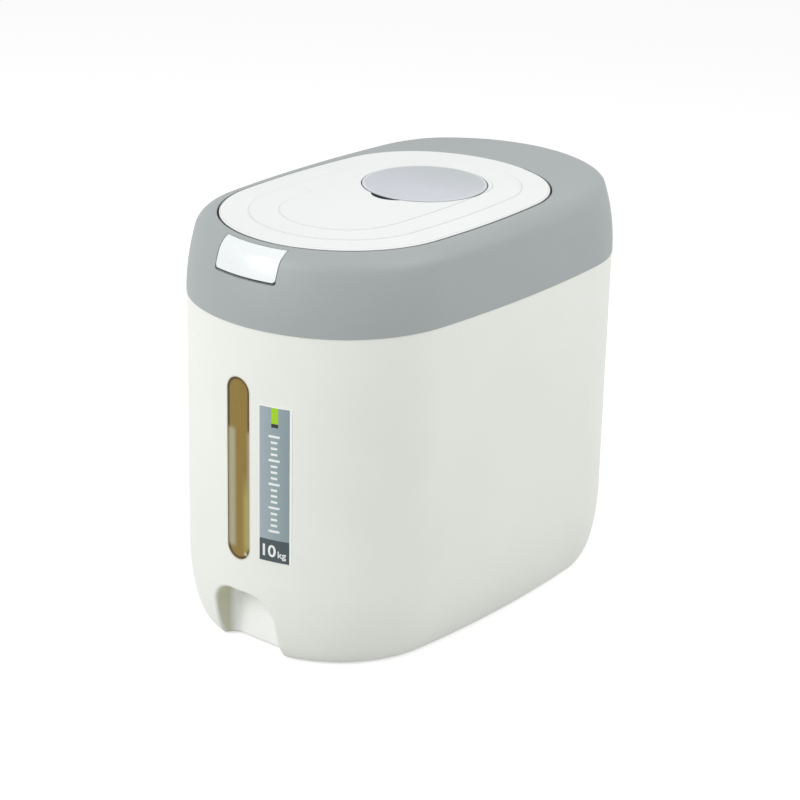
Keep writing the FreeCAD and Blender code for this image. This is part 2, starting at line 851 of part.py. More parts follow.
def lid_screw_places():
    """Six screws just inside the skirt, outside the seal: two a side and one in each front corner."""
    ring = inset(lid_plan, lid_wall + lid_base_gap + screw_head_radius + part_gap)
    places = [(sign * side_x(ring, lid_plan.y + step), lid_plan.y + step)
              for sign in (-1, 1) for step in (-lid_screw_pitch, lid_screw_pitch)]
    for corner in (sectors(ring)[5], sectors(ring)[7]):
        place = on_arc(corner, (corner.start + corner.end) / 2, 0)
        places.append((place.x, place.y))
    return places


def rear_edge_y(plan, x):
    """Place of an outline's rear edge at x."""
    for arc in sectors(plan)[1:4]:
        ends = sorted((on_arc(arc, arc.start, 0).x, on_arc(arc, arc.end, 0).x))
        if ends[0] - tiny <= x <= ends[1] + tiny:
            return arc.y + math.sqrt(arc.radius ** 2 - (x - arc.x) ** 2)


def swing_relief():
    """Spindle round the hinge axis that the rear ledge's edge sweeps past while the lid opens.

    The ledge's edge curves away in plan, so its distance from the axis grows away from the
    middle; turning that distance round the axis gives the room the lid must leave free.
    """
    ledge = inset(lid_plan, -lid_gap)
    half = lid_width / 2 - relief_side_margin
    rim = []
    for step in range(-4, 5):
        x = half * step / 4
        reach = math.hypot(hinge_y - rear_edge_y(ledge, x), hinge_drop) + lid_swing_clearance
        rim.append(Vector(x, hinge_y - reach, hinge_z))
    curve = Part.BSplineCurve()
    curve.interpolate(rim)
    left = Vector(-half, hinge_y, hinge_z)
    right = Vector(half, hinge_y, hinge_z)
    outline = Part.Wire([Part.makeLine(left, rim[0]), curve.toShape(), Part.makeLine(rim[-1], right),
                         Part.makeLine(right, left)])
    return Part.Face(outline).revolve(left, Vector(1, 0, 0), 360)


def terrace(step):
    """Low plateau on the lid with a sloped rim."""
    plateau = inset(lid_plan, terrace_inset + (step - 1) * terrace_pitch)
    low = lid_low_top_z + (step - 1) * terrace_rise
    return Part.makeLoft([plan_wire(plateau, low), plan_wire(inset(plateau, terrace_slope), low + terrace_rise)],
                         True, True)


def make_lid_top():
    slab = prism(lid_plan, lid_skirt_z, lid_low_top_z)
    rim = [edge for edge in slab.Edges if abs(edge.CenterOfMass.z - lid_low_top_z) < tiny]
    slab = slab.makeFillet(lid_edge_round, rim)
    slab = fuse([slab, terrace(1), terrace(2)])
    slab = slab.cut(prism(inset(lid_plan, lid_wall), lid_skirt_z - overrun, hollow_top_z))
    seat_radius = cup_disc_radius + seat_gap
    bosses = [upright(seat_radius + lid_wall, 0, cup_y, well_top_z + part_gap, hollow_top_z + weld)]
    bosses += [upright(screw_head_radius, x, y, lid_base_top_z, hollow_top_z + weld)
               for x, y in lid_screw_places()]
    slab = fuse([slab] + bosses)
    slab = slab.cut(upright(seat_radius, 0, cup_y, cup_disc_z - seat_drop, total_height + overrun))
    slab = slab.cut(upright(seat_radius - seat_width, 0, cup_y, 0, total_height))
    slab = slab.cut(upright(scoop_radius, 0, scoop_y, 0, total_height))
    for x, y in lid_screw_places():
        slab = slab.cut(pilot(x, y, lid_base_top_z - overrun, hollow_top_z - screw_tip_room))
    return slab.cut(swing_relief()).removeSplitter()


def seal_band(outward, inward, low, high):
    """Ring over the neck, from outward of its outer face to inward of its inner face."""
    ring = prism(inset(mouth_plan, -neck_wall - outward), low, high)
    return ring.cut(prism(inset(mouth_plan, inward), low - overrun, high + overrun))


def make_lid_seal():
    """Flat silicone ring with a lip that reaches down outside the neck."""
    pad = seal_band(seal_overhang, seal_overhang, seal_z, lid_base_z)
    lip = seal_band(seal_overhang, -neck_wall - 2 * seal_gap, seal_z - seal_lip, seal_z)
    return pad.fuse(lip).removeSplitter()


def catch_leg():
    """Tongue under the lid's front edge, with a lip that the latch hook holds."""
    lip_top = hook_bar_z - catch_clear
    foot = lip_top - catch_lip
    back = catch_y + catch_thickness
    tip = back + catch_grip
    root = lid_base_z + weld
    outline = [(catch_y, root), (catch_y, foot), (back, foot), (tip, lip_top - catch_bevel), (tip, lip_top),
               (back, lip_top), (back, lid_base_z - catch_gusset), (back + catch_gusset, lid_base_z),
               (back + catch_gusset, root)]
    return plate_x(outline, -catch_half_width, catch_half_width)


def arm_screw_places():
    return [(x, arm_pad_y + arm_screw_inset) for x in (-arm_x, arm_x)]


def make_lid_base():
    plate = prism(inset(lid_plan, lid_wall + lid_base_gap), lid_base_z, lid_base_top_z)
    keeper_low = lid_base_z - seal_keeper_drop
    reach = seal_overhang + lid_base_gap
    keepers = [seal_band(reach + seal_keeper, -neck_wall - reach, keeper_low, lid_base_z + weld),
               seal_band(-neck_wall - reach, reach + seal_keeper, keeper_low, lid_base_z + weld)]
    keepers[1] = keepers[1].common(prism(inset(mouth_plan, reach), keeper_low, lid_base_z + weld))
    well = upright(well_radius + well_wall, 0, cup_y, well_floor_z - well_wall, well_top_z)
    scoop = upright(scoop_radius + well_wall, 0, scoop_y, scoop_floor_z - well_wall, well_top_z)
    bosses = [upright(boss_radius, x, y, lid_base_z, hollow_top_z - part_gap) for x, y in arm_screw_places()]
    base = fuse([plate, well, scoop, catch_leg()] + keepers + bosses)
    base = base.cut(upright(well_radius, 0, cup_y, well_floor_z, total_height))
    base = base.cut(upright(scoop_radius, 0, scoop_y, scoop_floor_z, total_height))
    for x, y in lid_screw_places():
        base = base.cut(upright(screw_radius + screw_clearance, x, y, 0, total_height))
    for x, y in arm_screw_places():
        base = base.cut(pilot(x, y, lid_base_z - overrun, lid_base_z + screw_bite - arm_pad_thickness))
    return base.cut(swing_relief()).removeSplitter()


def make_lid_screws():
    depth = hollow_top_z - lid_base_z - 2 * screw_tip_room
    return Part.makeCompound([screw(x, y, lid_base_z, depth) for x, y in lid_screw_places()])


def make_measuring_cup():
    """Turned shape: dished disc above, tapered wall, beaded mouth below."""
    inner_base_z = cup_disc_z - cup_base_web
    inner_mouth = cup_mouth_radius - cup_bead - cup_wall
    bead_top = cup_mouth_z + cup_bead_height
    edge = cup_disc_edge
    bend = edge * (1 - math.sqrt(0.5))
    outline = [(0, inner_base_z), (cup_base_radius - cup_wall, inner_base_z), (inner_mouth, cup_mouth_z),
               (cup_mouth_radius, cup_mouth_z), (cup_mouth_radius, bead_top),
               (cup_mouth_radius - cup_bead, bead_top + cup_bead), (cup_base_radius, cup_disc_z),
               (cup_disc_radius, cup_disc_z), (cup_disc_radius, total_height - edge),
               (cup_disc_radius - edge, total_height), (0, total_height)]
    corners = [Vector(r, cup_y, z) for r, z in outline]
    edges = [Part.makeLine(a, b) for a, b in zip(corners, corners[1:] + corners[:1])]
    edges[8] = Part.Arc(corners[8], Vector(cup_disc_radius - bend, cup_y, total_height - bend),
                        corners[9]).toShape()
    cup = Part.Face(Part.Wire(edges)).revolve(Vector(0, cup_y, 0), Vector(0, 0, 1), 360)
    dish_radius = cup_disc_radius - cup_rim_width
    ball = (dish_radius ** 2 + cup_dish ** 2) / (2 * cup_dish)
    dish = Part.makeSphere(ball, Vector(0, cup_y, total_height - cup_dish + ball), Vector(1, 0, 0))
    return cup.cut(dish)


# ---------------------------------------------------------------- gooseneck hinge

def arm_outline():
    """One gooseneck in (y, z): pad under the lid, down, back below the pin and up to the knuckle."""
    half = arm_thickness / 2
    bend = arm_bend
    inner = arm_inner_bend
    pad_low = lid_base_z - arm_pad_thickness
    front = arm_front_y
    back = arm_front_y + arm_thickness
    low = arm_low_z
    upper = arm_low_z + arm_thickness
    return [(arm_pad_y, lid_base_z), (arm_pad_y, pad_low), (front, pad_low), (front, low + bend),
            (front + bend, low), (hinge_y + half - bend, low), (hinge_y + half, low + bend),
            (hinge_y + half, hinge_z), (hinge_y - half, hinge_z), (hinge_y - half, upper + inner),
            (hinge_y - half - inner, upper), (back + inner, upper), (back, upper + inner), (back, lid_base_z)]


def make_hinge_arms():
    arms = []
    for x in (-arm_x, arm_x):
        x0 = x - arm_width / 2
        x1 = x + arm_width / 2
        arms.append(plate_x(arm_outline(), x0, x1))
        arms.append(along_x(knuckle_radius, hinge_y, hinge_z, x0, x1))
    arms.append(along_x(bar_radius, bar_y, bar_z, -arm_x, arm_x))
    body = fuse(arms).cut(along_x(hinge_pin_radius + hinge_running, hinge_y, hinge_z, -bin_width, bin_width))
    for x, y in arm_screw_places():
        body = body.cut(upright(screw_radius + screw_clearance, x, y, arm_low_z, lid_base_z + overrun))
    return body


def make_arm_screws():
    low = lid_base_z - arm_pad_thickness
    return Part.makeCompound([screw(x, y, low, screw_bite - screw_tip_room) for x, y in arm_screw_places()])


def make_hinge_bracket():
    gap = arm_width / 2 + arm_side_gap
    parts = [box(-bracket_outer_x, bracket_outer_x, bracket_y, bracket_rear_y, bracket_low_z, bracket_top_z)]
    gusset_y = bracket_y + cheek_thickness
    for x in (-arm_x, arm_x):
        for x0 in (x - gap - cheek_thickness, x + gap):
            x1 = x0 + cheek_thickness
            parts.append(along_x(knuckle_radius, hinge_y, hinge_z, x0, x1))
            parts.append(plate_x([(hinge_y, hinge_z - knuckle_radius), (gusset_y, hinge_z - knuckle_radius),
                                  (gusset_y + cheek_thickness, bracket_low_z),
                                  (gusset_y + cheek_thickness, bracket_top_z), (bracket_y, bracket_top_z),
                                  (hinge_y, hinge_z + knuckle_radius)], x0, x1))
    hole = along_x(hinge_pin_radius + press_clearance, hinge_y, hinge_z, -bin_width, bin_width)
    bracket = fuse(parts).cut(hole)
    for x, y in bracket_screw_places():
        bracket = bracket.cut(upright(screw_radius + screw_clearance, x, y, 0, total_height))
    return bracket


def round_ended_pin(radius, y, z, half):
    """Pin along X with both ends chamfered."""
    pin = along_x(radius, y, z, -half, half)
    return pin.makeChamfer(pin_chamfer, [edge for edge in pin.Edges if edge.Curve.TypeId == "Part::GeomCircle"])


def make_hinge_pin():
    return round_ended_pin(hinge_pin_radius, hinge_y, hinge_z, bracket_outer_x + 2 * pin_chamfer)


def make_hinge_screws():
    depth = bracket_thickness + screw_bite - screw_tip_room
    return Part.makeCompound([screw(x, y, bracket_low_z, depth) for x, y in bracket_screw_places()])


def make_hinge_cover():
    plate = hinge_pocket(pocket_wall, pocket_bottom_z - pocket_cover_thickness, pocket_bottom_z)
    for x, y in pocket_corners():
        plate = plate.cut(upright(screw_radius + screw_clearance, x, y, 0, total_height))
    return plate


def make_hinge_cover_screws():
    low = pocket_bottom_z - pocket_cover_thickness
    depth = pocket_cover_thickness + screw_bite - screw_tip_room
    return Part.makeCompound([screw(x, y, low, depth) for x, y in pocket_corners()])


def make_lid_spring():
    """Torsion spring: one leg under the bracket, the other behind the arms' cross bar."""
    away = Vector(0, bar_y - hinge_y, bar_z - hinge_z)
    bearing = math.degrees(math.atan2(away.z, away.y))
    offset = bar_radius + torsion_wire + spring_clear - torsion_radius
    push = math.radians(bearing + math.degrees(math.asin(offset / away.Length)))
    leave = math.degrees(push) + 90
    turns = torsion_turns + ((-90 - leave) % 360) / 360
    x0 = torsion_middle_gap / 2 + torsion_wire
    # Laid along +X, the coil starts straight below the pin.
    lay_down = FreeCAD.Matrix(0, 0, 1, x0, 0, -1, 0, hinge_y, -1, 0, 0, hinge_z, 0, 0, 0, 1)
    round_pin = [lay_down.multVec(point) for point in coil(torsion_radius, turns, torsion_pitch)]
    back_end = round_pin[0] + Vector(0, torsion_leg, 0)
    push_end = round_pin[-1] + Vector(0, math.cos(push), math.sin(push)) * (away.Length + bar_radius)
    return bent_wire([back_end] + round_pin + [push_end], torsion_wire)


# ---------------------------------------------------------------- push latch

def make_latch_button():
    """Crowned face that pivots near its top edge; two cheeks and a web carry it on the pin."""
    face = cover_form(0.0).common(button_prism(0.0, 0.0, 0.0)).cut(cover_form(button_wall))
    inside = cover_form(button_wall - weld / 2)
    rear = latch_y + latch_boss_radius
    low = button_bottom_z + button_wall
    parts = [face]
    for x0 in (-cheek_x - cheek_width, cheek_x):
        outline = [(front_y, low), (latch_y - latch_boss_radius, low), (rear, latch_z - latch_boss_radius / 2),
                   (rear, latch_z + latch_boss_radius / 2), (latch_y, latch_z + latch_boss_radius),
                   (latch_y, cover_top_z), (front_y, cover_top_z)]
        parts.append(plate_x(outline, x0, x0 + cheek_width).common(inside))
    web_z = latch_z - latch_boss_radius - web_gap - web_thickness
    web = box(-cheek_x - weld, cheek_x + weld, front_y, latch_y - hook_shank / 2, web_z, web_z + web_thickness)
    parts.append(web.common(inside))
    parts.append(rod(latch_spigot_radius, Vector(0, button_back_y - weld, latch_spring_z),
                     Vector(0, button_back_y + latch_spigot_length, latch_spring_z)))
    return fuse(parts).cut(latch_pin_hole(hinge_running))


def latch_pin_hole(gap):
    return along_x(latch_pin_radius + gap, latch_y, latch_z, -bin_width, bin_width)


def make_latch_hook():
    """Spring catch: two shanks on the pin and a bar behind the lid's catch leg."""
    half = hook_shank / 2
    top = hook_bar_z + hook_bar_height
    rear = hook_bar_y + hook_bar_depth
    lead = hook_lead
    parts = []
    for x0 in (-hook_x - hook_width, hook_x):
        outline = [(latch_y - half, latch_z), (latch_y - half, hook_bar_z), (rear, hook_bar_z),
                   (rear, top), (latch_y + half, top), (latch_y + half, latch_z)]
        parts.append(plate_x(outline, x0, x0 + hook_width))
        parts.append(along_x(latch_boss_radius, latch_y, latch_z, x0, x0 + hook_width))
    parts.append(plate_x([(hook_bar_y, hook_bar_z + lead), (hook_bar_y + lead, hook_bar_z), (rear, hook_bar_z),
                          (rear, top), (hook_bar_y, top)], -hook_x - weld, hook_x + weld))
    return fuse(parts).cut(latch_pin_hole(hinge_running))


def make_latch_pin():
    return round_ended_pin(latch_pin_radius, latch_y, latch_z, ear_x + ear_width - pin_chamfer)


def make_latch_spring():
    """Compression spring between the recess wall and the back of the button."""
    start = tub_front_y - latch_spring_wire - press_clearance
    end = button_back_y + latch_spring_wire + spring_clear
    length = start - end
    # Turned about X, the coil runs forwards from the recess wall.
    lay_down = FreeCAD.Matrix(1, 0, 0, 0, 0, 0, -1, start, 0, 1, 0, latch_spring_z, 0, 0, 0, 1)
    turns = coil(latch_spring_radius, latch_spring_turns, length / latch_spring_turns)
    return bent_wire([lay_down.multVec(point) for point in turns], latch_spring_wire)


def make_latch_housing():
    """Tray under the recess that carries the latch pin and closes the room behind the button."""
    outer_x = ear_x + ear_width
    tray = box(-outer_x, outer_x, front_y, tray_rear_y, tray_bottom_z, tray_top_z)
    ears = [box(x0, x0 + ear_width, latch_y - ear_front_length, latch_y + ear_half_length,
                tray_bottom_z, latch_z + ear_half_length) for x0 in (-outer_x, ear_x)]
    block = fuse([tray] + ears).common(cover_form(cover_wall + tray_fit))
    room = box(-ear_x, ear_x, front_y, tray_rear_y - tray_wall, tray_bottom_z + tray_wall, total_height)
    block = block.cut(room.common(cover_form(cover_wall + tray_fit + tray_wall)))
    high = tray_lug_z + tray_wall
    lugs = []
    for x, y in tray_screw_places():
        lugs.append(upright(boss_radius, x, y, tray_lug_z, high))
        inner_x = math.copysign(ear_x + weld, x)
        lugs.append(box(min(x, inner_x), max(x, inner_x), y - boss_radius, y + boss_radius, tray_lug_z, high))
    block = fuse([block] + lugs)
    for x, y in tray_screw_places():
        block = block.cut(upright(screw_radius + screw_clearance, x, y, 0, total_height))
    return block.cut(latch_pin_hole(press_clearance)).removeSplitter()


def make_latch_screws():
    depth = tray_wall + screw_bite - screw_tip_room
    return Part.makeCompound([screw(x, y, tray_lug_z, depth) for x, y in tray_screw_places()])


# ---------------------------------------------------------------- output

nodes = {
    "bin_body": make_bin_body,
    "foot_pads": make_foot_pads,
    "level_window": make_level_window,
    "level_label": make_level_label,
    "top_cover": make_top_cover,
    "lid_top": make_lid_top,
    "lid_base": make_lid_base,
    "lid_seal": make_lid_seal,
    "lid_screws": make_lid_screws,
    "measuring_cup": make_measuring_cup,
    "hinge_arms": make_hinge_arms,
    "arm_screws": make_arm_screws,
    "hinge_bracket": make_hinge_bracket,
    "hinge_pin": make_hinge_pin,
    "hinge_screws": make_hinge_screws,
    "hinge_cover": make_hinge_cover,
    "hinge_cover_screws": make_hinge_cover_screws,
    "lid_spring_left": lambda: mirrored(make_lid_spring()),
    "lid_spring_right": make_lid_spring,
    "latch_button": make_latch_button,
    "latch_hook": make_latch_hook,
    "latch_pin": make_latch_pin,
    "latch_spring": make_latch_spring,
    "latch_housing": make_latch_housing,
    "latch_screws": make_latch_screws,
}

os.makedirs("parts", exist_ok=True)
for name, make in nodes.items():
    shape = make()
    print(name, len(shape.Solids), round(shape.Volume), shape.isValid())
    shape.exportStep("parts/" + name + ".step")
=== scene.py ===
"""Looks, light and camera of a kitchen rice bin with a sprung push-to-open lid."""

import json
import logging
import math
from dataclasses import dataclass, field
from enum import Enum, IntEnum

import bmesh
import bpy
from bpy.types import ID, Material, Mesh, Node, NodeSocket as Socket, NodeTree, Object
from mathutils import Matrix, Vector

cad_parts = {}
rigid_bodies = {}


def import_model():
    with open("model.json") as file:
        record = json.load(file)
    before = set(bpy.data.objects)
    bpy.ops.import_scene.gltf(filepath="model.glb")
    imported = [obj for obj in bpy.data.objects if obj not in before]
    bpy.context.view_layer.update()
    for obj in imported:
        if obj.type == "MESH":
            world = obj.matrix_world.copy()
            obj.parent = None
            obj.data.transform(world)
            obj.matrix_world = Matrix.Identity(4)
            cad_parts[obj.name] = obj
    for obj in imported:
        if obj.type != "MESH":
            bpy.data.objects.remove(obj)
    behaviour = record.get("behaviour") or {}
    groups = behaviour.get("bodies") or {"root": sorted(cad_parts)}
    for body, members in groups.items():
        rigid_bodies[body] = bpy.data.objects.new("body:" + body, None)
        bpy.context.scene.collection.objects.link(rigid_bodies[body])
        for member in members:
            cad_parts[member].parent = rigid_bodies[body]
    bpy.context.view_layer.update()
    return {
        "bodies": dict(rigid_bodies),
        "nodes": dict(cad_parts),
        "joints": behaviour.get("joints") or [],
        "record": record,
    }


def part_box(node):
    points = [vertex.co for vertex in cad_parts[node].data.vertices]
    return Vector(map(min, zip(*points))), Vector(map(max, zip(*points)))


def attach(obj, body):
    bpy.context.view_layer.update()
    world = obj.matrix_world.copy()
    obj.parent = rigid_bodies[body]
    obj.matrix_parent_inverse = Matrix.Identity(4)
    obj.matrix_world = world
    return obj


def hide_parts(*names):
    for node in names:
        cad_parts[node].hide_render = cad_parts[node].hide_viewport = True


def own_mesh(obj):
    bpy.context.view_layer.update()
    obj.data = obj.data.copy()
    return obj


log = logging.getLogger("rice_bin")

# Sizes and places are in metres, in the frame's own axes.
MM = 0.001
QUARTER_TURN = math.pi / 2
FULL_TURN = 2 * math.pi
WELD = 0.001 * MM
PRINT_EDGE = 0.05 * MM
WHITE = (1, 1, 1, 1)

Colour = tuple[float, float, float]
Point = tuple[float, float, float]
Span = tuple[float, float]


def linear(*display: int) -> Colour:
    """Turns a display colour into the linear one that shaders take, along the sRGB curve.

    Args:
        display: Red, green and blue from 0 to 255.

    Returns:
        The linear red, green and blue.
    """
    shares = (value / 255 for value in display)
    return tuple(share / 12.92 if share <= 0.04045 else ((share + 0.055) / 1.055) ** 2.4 for share in shares)


def shaded(colour: Colour, share: float) -> Colour:
    """Multiplies a colour's brightness, up to white."""
    return tuple(min(1.0, value * share) for value in colour)


# ------------------------------------------------------------------ node trees

class NodeSheet:
    """Node tree with short calls for the nodes that shaders and shapes share."""

    def __init__(self, tree: NodeTree) -> None:
        """Keeps the tree that the nodes go into."""
        self.tree = tree

    def put(self, target: Socket, source: object) -> None:
        """Sets an input to a value, or joins it to the socket that gives the value.

        Args:
            target: The input.
            source: The value or the socket.
        """
        if isinstance(source, Socket):
            self.tree.links.new(source, target)
        else:
            target.default_value = source

    def add(self, kind: str, takes: dict[str | int, object] | None = None, **settings: object) -> Node:
        """Adds a node.

        Args:
            kind: Blender's node type.
            takes: The socket or value that each input takes, by the input's name or number.
            settings: Properties of the node, set before its inputs.

        Returns:
            The node.
        """
        node = self.tree.nodes.new(kind)
        for key, value in settings.items():
            setattr(node, key, value)
        for key, source in (takes or {}).items():
            self.put(node.inputs[key], source)
        return node

    def work_out(self, operation: str, *values: object) -> Socket:
        """Works out a number from others.

        Args:
            operation: Blender's name of the operation.
            values: Sockets or numbers that it takes.

        Returns:
            The result.
        """
        return self.add("ShaderNodeMath", dict(enumerate(values)), operation=operation).outputs[0]

    def multiply(self, first: object, second: object) -> Socket:
        """Multiplies two sockets or numbers."""
        return self.work_out("MULTIPLY", first, second)

    def vector(self, x: object = 0.0, y: object = 0.0, z: object = 0.0) -> Socket:
        """Joins three sockets or numbers into a vector."""
        return self.add("ShaderNodeCombineXYZ", {0: x, 1: y, 2: z}).outputs[0]

    def split(self, vector: Socket) -> tuple[Socket, Socket, Socket]:
        """Splits a vector into its X, Y and Z."""
        return tuple(self.add("ShaderNodeSeparateXYZ", {0: vector}).outputs)


class Layers(IntEnum):
    """How many finer layers a noise has."""

    SMOOTH = 1
    SOFT = 2
    GRAINY = 3
    DUSTY = 4


class ShaderSheet(NodeSheet):
    """Shader tree of one finish, in the object's own coordinates."""

    EDGE_SAMPLES = 6
    # The Mix node's colour sockets share their names with its others, so they go by number.
    MIX_UNDER, MIX_OVER, MIX_RESULT = 6, 7, 2

    def __init__(self, name: str) -> None:
        """Makes the material.

        Args:
            name: The material's name.
        """
        self.material = bpy.data.materials.new(name)
        self.material.use_nodes = True
        super().__init__(self.material.node_tree)
        coordinates = self.add("ShaderNodeTexCoord")
        self.place = coordinates.outputs["Object"]
        self.facing = coordinates.outputs["Normal"]

    def finished(self, look: dict[str, object]) -> Material:
        """Sets the shader's inputs.

        Args:
            look: The socket, number or colour that each named input takes.

        Returns:
            The material.
        """
        shader = self.tree.nodes["Principled BSDF"]
        for name, source in look.items():
            self.put(shader.inputs[name], source)
        return self.material

    def noise(self, size: float, layers: Layers = Layers.GRAINY, stretch: Point = (1, 1, 1)) -> Socket:
        """Adds cloudy noise.

        Args:
            size: Width of one cloud in metres.
            layers: How many finer layers are added.
            stretch: How much denser the noise is along each axis.

        Returns:
            The noise, from 0 to 1.
        """
        mapping = self.add("ShaderNodeMapping", {"Vector": self.place, "Scale": stretch})
        return self.add("ShaderNodeTexNoise", {
            "Vector": mapping.outputs[0], "Scale": 1 / size, "Detail": layers}).outputs["Fac"]

    def spread(self, source: Socket, low: float, high: float,
               start: float = 0.25, end: float = 0.75) -> Socket:
        """Stretches a value onto a new range, clamped.

        Args:
            source: The value to stretch.
            low: Result at start.
            high: Result at end.
            start: Value that gives low.
            end: Value that gives high.

        Returns:
            The stretched value.
        """
        return self.add("ShaderNodeMapRange", {
            "Value": source, "From Min": start, "From Max": end, "To Min": low, "To Max": high}).outputs[0]

    def above(self, source: Socket, limit: float, fade: float = PRINT_EDGE) -> Socket:
        """Marks with 1 where a value is over a limit, fading in below it."""
        return self.spread(source, 0, 1, limit - fade, limit)

    def below(self, source: Socket, limit: float, fade: float = PRINT_EDGE) -> Socket:
        """Marks with 1 where a value is under a limit, fading out up to it."""
        return self.spread(source, 1, 0, limit - fade, limit)

    def between(self, source: Socket, low: float, high: float, soft: float = PRINT_EDGE) -> Socket:
        """Marks where a value lies between two limits.

        Args:
            source: The value to test.
            low: Lower limit.
            high: Upper limit.
            soft: Half the width over which the mark fades at each limit.

        Returns:
            1 inside the limits and 0 outside.
        """
        rising = self.above(source, low + soft, 2 * soft)
        return self.multiply(rising, self.below(source, high + soft, 2 * soft))

    def reach(self, across: Socket, along: Socket) -> Socket:
        """Measures the straight distance that two distances at a right angle make."""
        square = self.work_out("ADD", self.multiply(across, across), self.multiply(along, along))
        return self.work_out("SQRT", square)

    def blend(self, amount: Socket, under: object, over: object) -> Socket:
        """Mixes two colours.

        Args:
            amount: Share of the upper colour.
            under: Lower colour, as numbers or a socket.
            over: Upper colour, as numbers or a socket.

        Returns:
            The mixed colour.
        """
        node = self.add("ShaderNodeMix", {"Factor": amount}, data_type="RGBA")
        for number, colour in ((self.MIX_UNDER, under), (self.MIX_OVER, over)):
            self.put(node.inputs[number], colour if isinstance(colour, Socket) else (*colour, 1))
        return node.outputs[self.MIX_RESULT]

    def eased_edges(self, radius: float) -> Socket:
        """Shades sharp edges as if a round of this radius in metres broke them."""
        return self.add("ShaderNodeBevel", {"Radius": radius}, samples=self.EDGE_SAMPLES).outputs[0]

    def relief(self, height: Socket, depth: float, under: Socket | None = None) -> Socket:
        """Turns a height into surface relief.

        Args:
            height: Height from 0 to 1.
            depth: Depth of the relief in metres.
            under: Coarser relief that this one lies on.

        Returns:
            The bumped normal.
        """
        coarser = {} if under is None else {"Normal": under}
        return self.add("ShaderNodeBump", {"Distance": depth, "Height": height, **coarser}).outputs[0]

    def grained(self, grain: Socket, roughness: Span, depth: float,
                under: Socket | None = None) -> dict[str, Socket]:
        """Gives a surface one grain in its gloss and in its relief.

        Args:
            grain: The grain, from 0 to 1.
            roughness: Roughness in the grain's lows and highs.
            depth: Depth of the relief in metres.
            under: Coarser relief that the grain lies on.

        Returns:
            What the shader's roughness and normal take.
        """
        return {"Roughness": self.spread(grain, *roughness), "Normal": self.relief(grain, depth, under)}


# ------------------------------------------------------------------ finishes

@dataclass(frozen=True)
class RoundSlot:
    """Upright slot with round ends in the front of the tub."""

    half_width: float
    low: float
    high: float

    def inset(self, sheet: ShaderSheet, x: Socket, z: Socket) -> Socket:
        """Measures how far a place lies inside the round-ended outline.

        Args:
            sheet: The finish's tree.
            x: Place across the slot.
            z: Place up the slot.

        Returns:
            The distance from the outline in metres.
        """
        straight = (self.high - self.low) / 2 - self.half_width
        rise = sheet.work_out("ABSOLUTE", sheet.work_out("SUBTRACT", z, (self.high + self.low) / 2))
        beyond = sheet.work_out("MAXIMUM", sheet.work_out("SUBTRACT", rise, straight), 0.0)
        return sheet.work_out("SUBTRACT", self.half_width, sheet.reach(x, beyond))


SIGHT_SLOT = RoundSlot(half_width=8.45 * MM, low=63.8 * MM, high=179.2 * MM)


@dataclass(frozen=True)
class MouldedPlastic:
    """Opaque injection-moulded plastic: a fine mould grain over slow waves of shrinkage."""

    name: str
    colour: Colour
    shade: float = 0.965
    roughness: Span = (0.36, 0.46)
    grain_size: float = 0.9 * MM
    grain_depth: float = 0.006 * MM
    wave_size: float = 60 * MM
    wave_depth: float = 0.05 * MM
    edge_round: float = 0.3 * MM
    coat: float = 0.0
    coat_roughness: float = 0.12
    glow_through: float = 0.0
    glow_colour: Colour = (1.0, 0.95, 0.85)
    glow_depth: float = 3 * MM

    def local_tone(self, sheet: ShaderSheet, colour: Socket) -> Socket:
        """Leaves the colour the same all over; finishes with a toned place change it there."""
        return colour

    def material(self) -> Material:
        """Builds the finish.

        Returns:
            The material.
        """
        sheet = ShaderSheet(self.name)
        clouds = sheet.spread(sheet.noise(self.wave_size), 0, 1)
        colour = sheet.blend(clouds, self.colour, shaded(self.colour, self.shade))
        waves = sheet.relief(sheet.noise(self.wave_size, Layers.SMOOTH), self.wave_depth,
                             sheet.eased_edges(self.edge_round))
        look = {"Base Color": self.local_tone(sheet, colour),
                "Coat Weight": self.coat, "Coat Roughness": self.coat_roughness,
                **sheet.grained(sheet.noise(self.grain_size), self.roughness, self.grain_depth, waves)}
        if self.glow_through:
            look |= {"Subsurface Weight": self.glow_through, "Subsurface Radius": self.glow_colour,
                     "Subsurface Scale": self.glow_depth}
        return sheet.finished(look)


@dataclass(frozen=True)
class SteppedPlastic(MouldedPlastic):
    """Moulded plastic of the lid, with painted shade on the slopes between its terraces and a painted shadow
    line round its skirt, where the gap to the cover lies.
    """

    # Painted shade: faces tilted a little from level, the terraces' slopes and a band of the edge round, are
    # darkened.
    painted_step_shade: float = 0.8
    step_rise: Span = (0.90, 0.985)
    step_fade: float = 0.01
    # Painted shadow: a dark band round the lid's skirt, standing for the gap between lid and cover.
    painted_gap_shadow: Colour = linear(104, 108, 108)
    gap_shadow_heights: Span = (256.9 * MM, 258.0 * MM)
    gap_shadow_fade: float = 0.15 * MM

    def local_tone(self, sheet: ShaderSheet, colour: Socket) -> Socket:
        """Paints shade on the slopes and a shadow line round the lid's skirt, where the gap to the cover
        lies.

        Args:
            sheet: The finish's tree.
            colour: The colour so far.

        Returns:
            The colour with the toned places.
        """
        # Painted shade on faces tilted a little from level.
        step = sheet.between(sheet.split(sheet.facing)[2], *self.step_rise, self.step_fade)
        stepped = sheet.blend(step, colour, shaded(self.colour, self.painted_step_shade))
        # Painted shadow of the gap between lid and cover, round the lid's skirt.
        line = sheet.between(sheet.split(sheet.place)[2], *self.gap_shadow_heights, self.gap_shadow_fade)
        return sheet.blend(line, stepped, self.painted_gap_shadow)


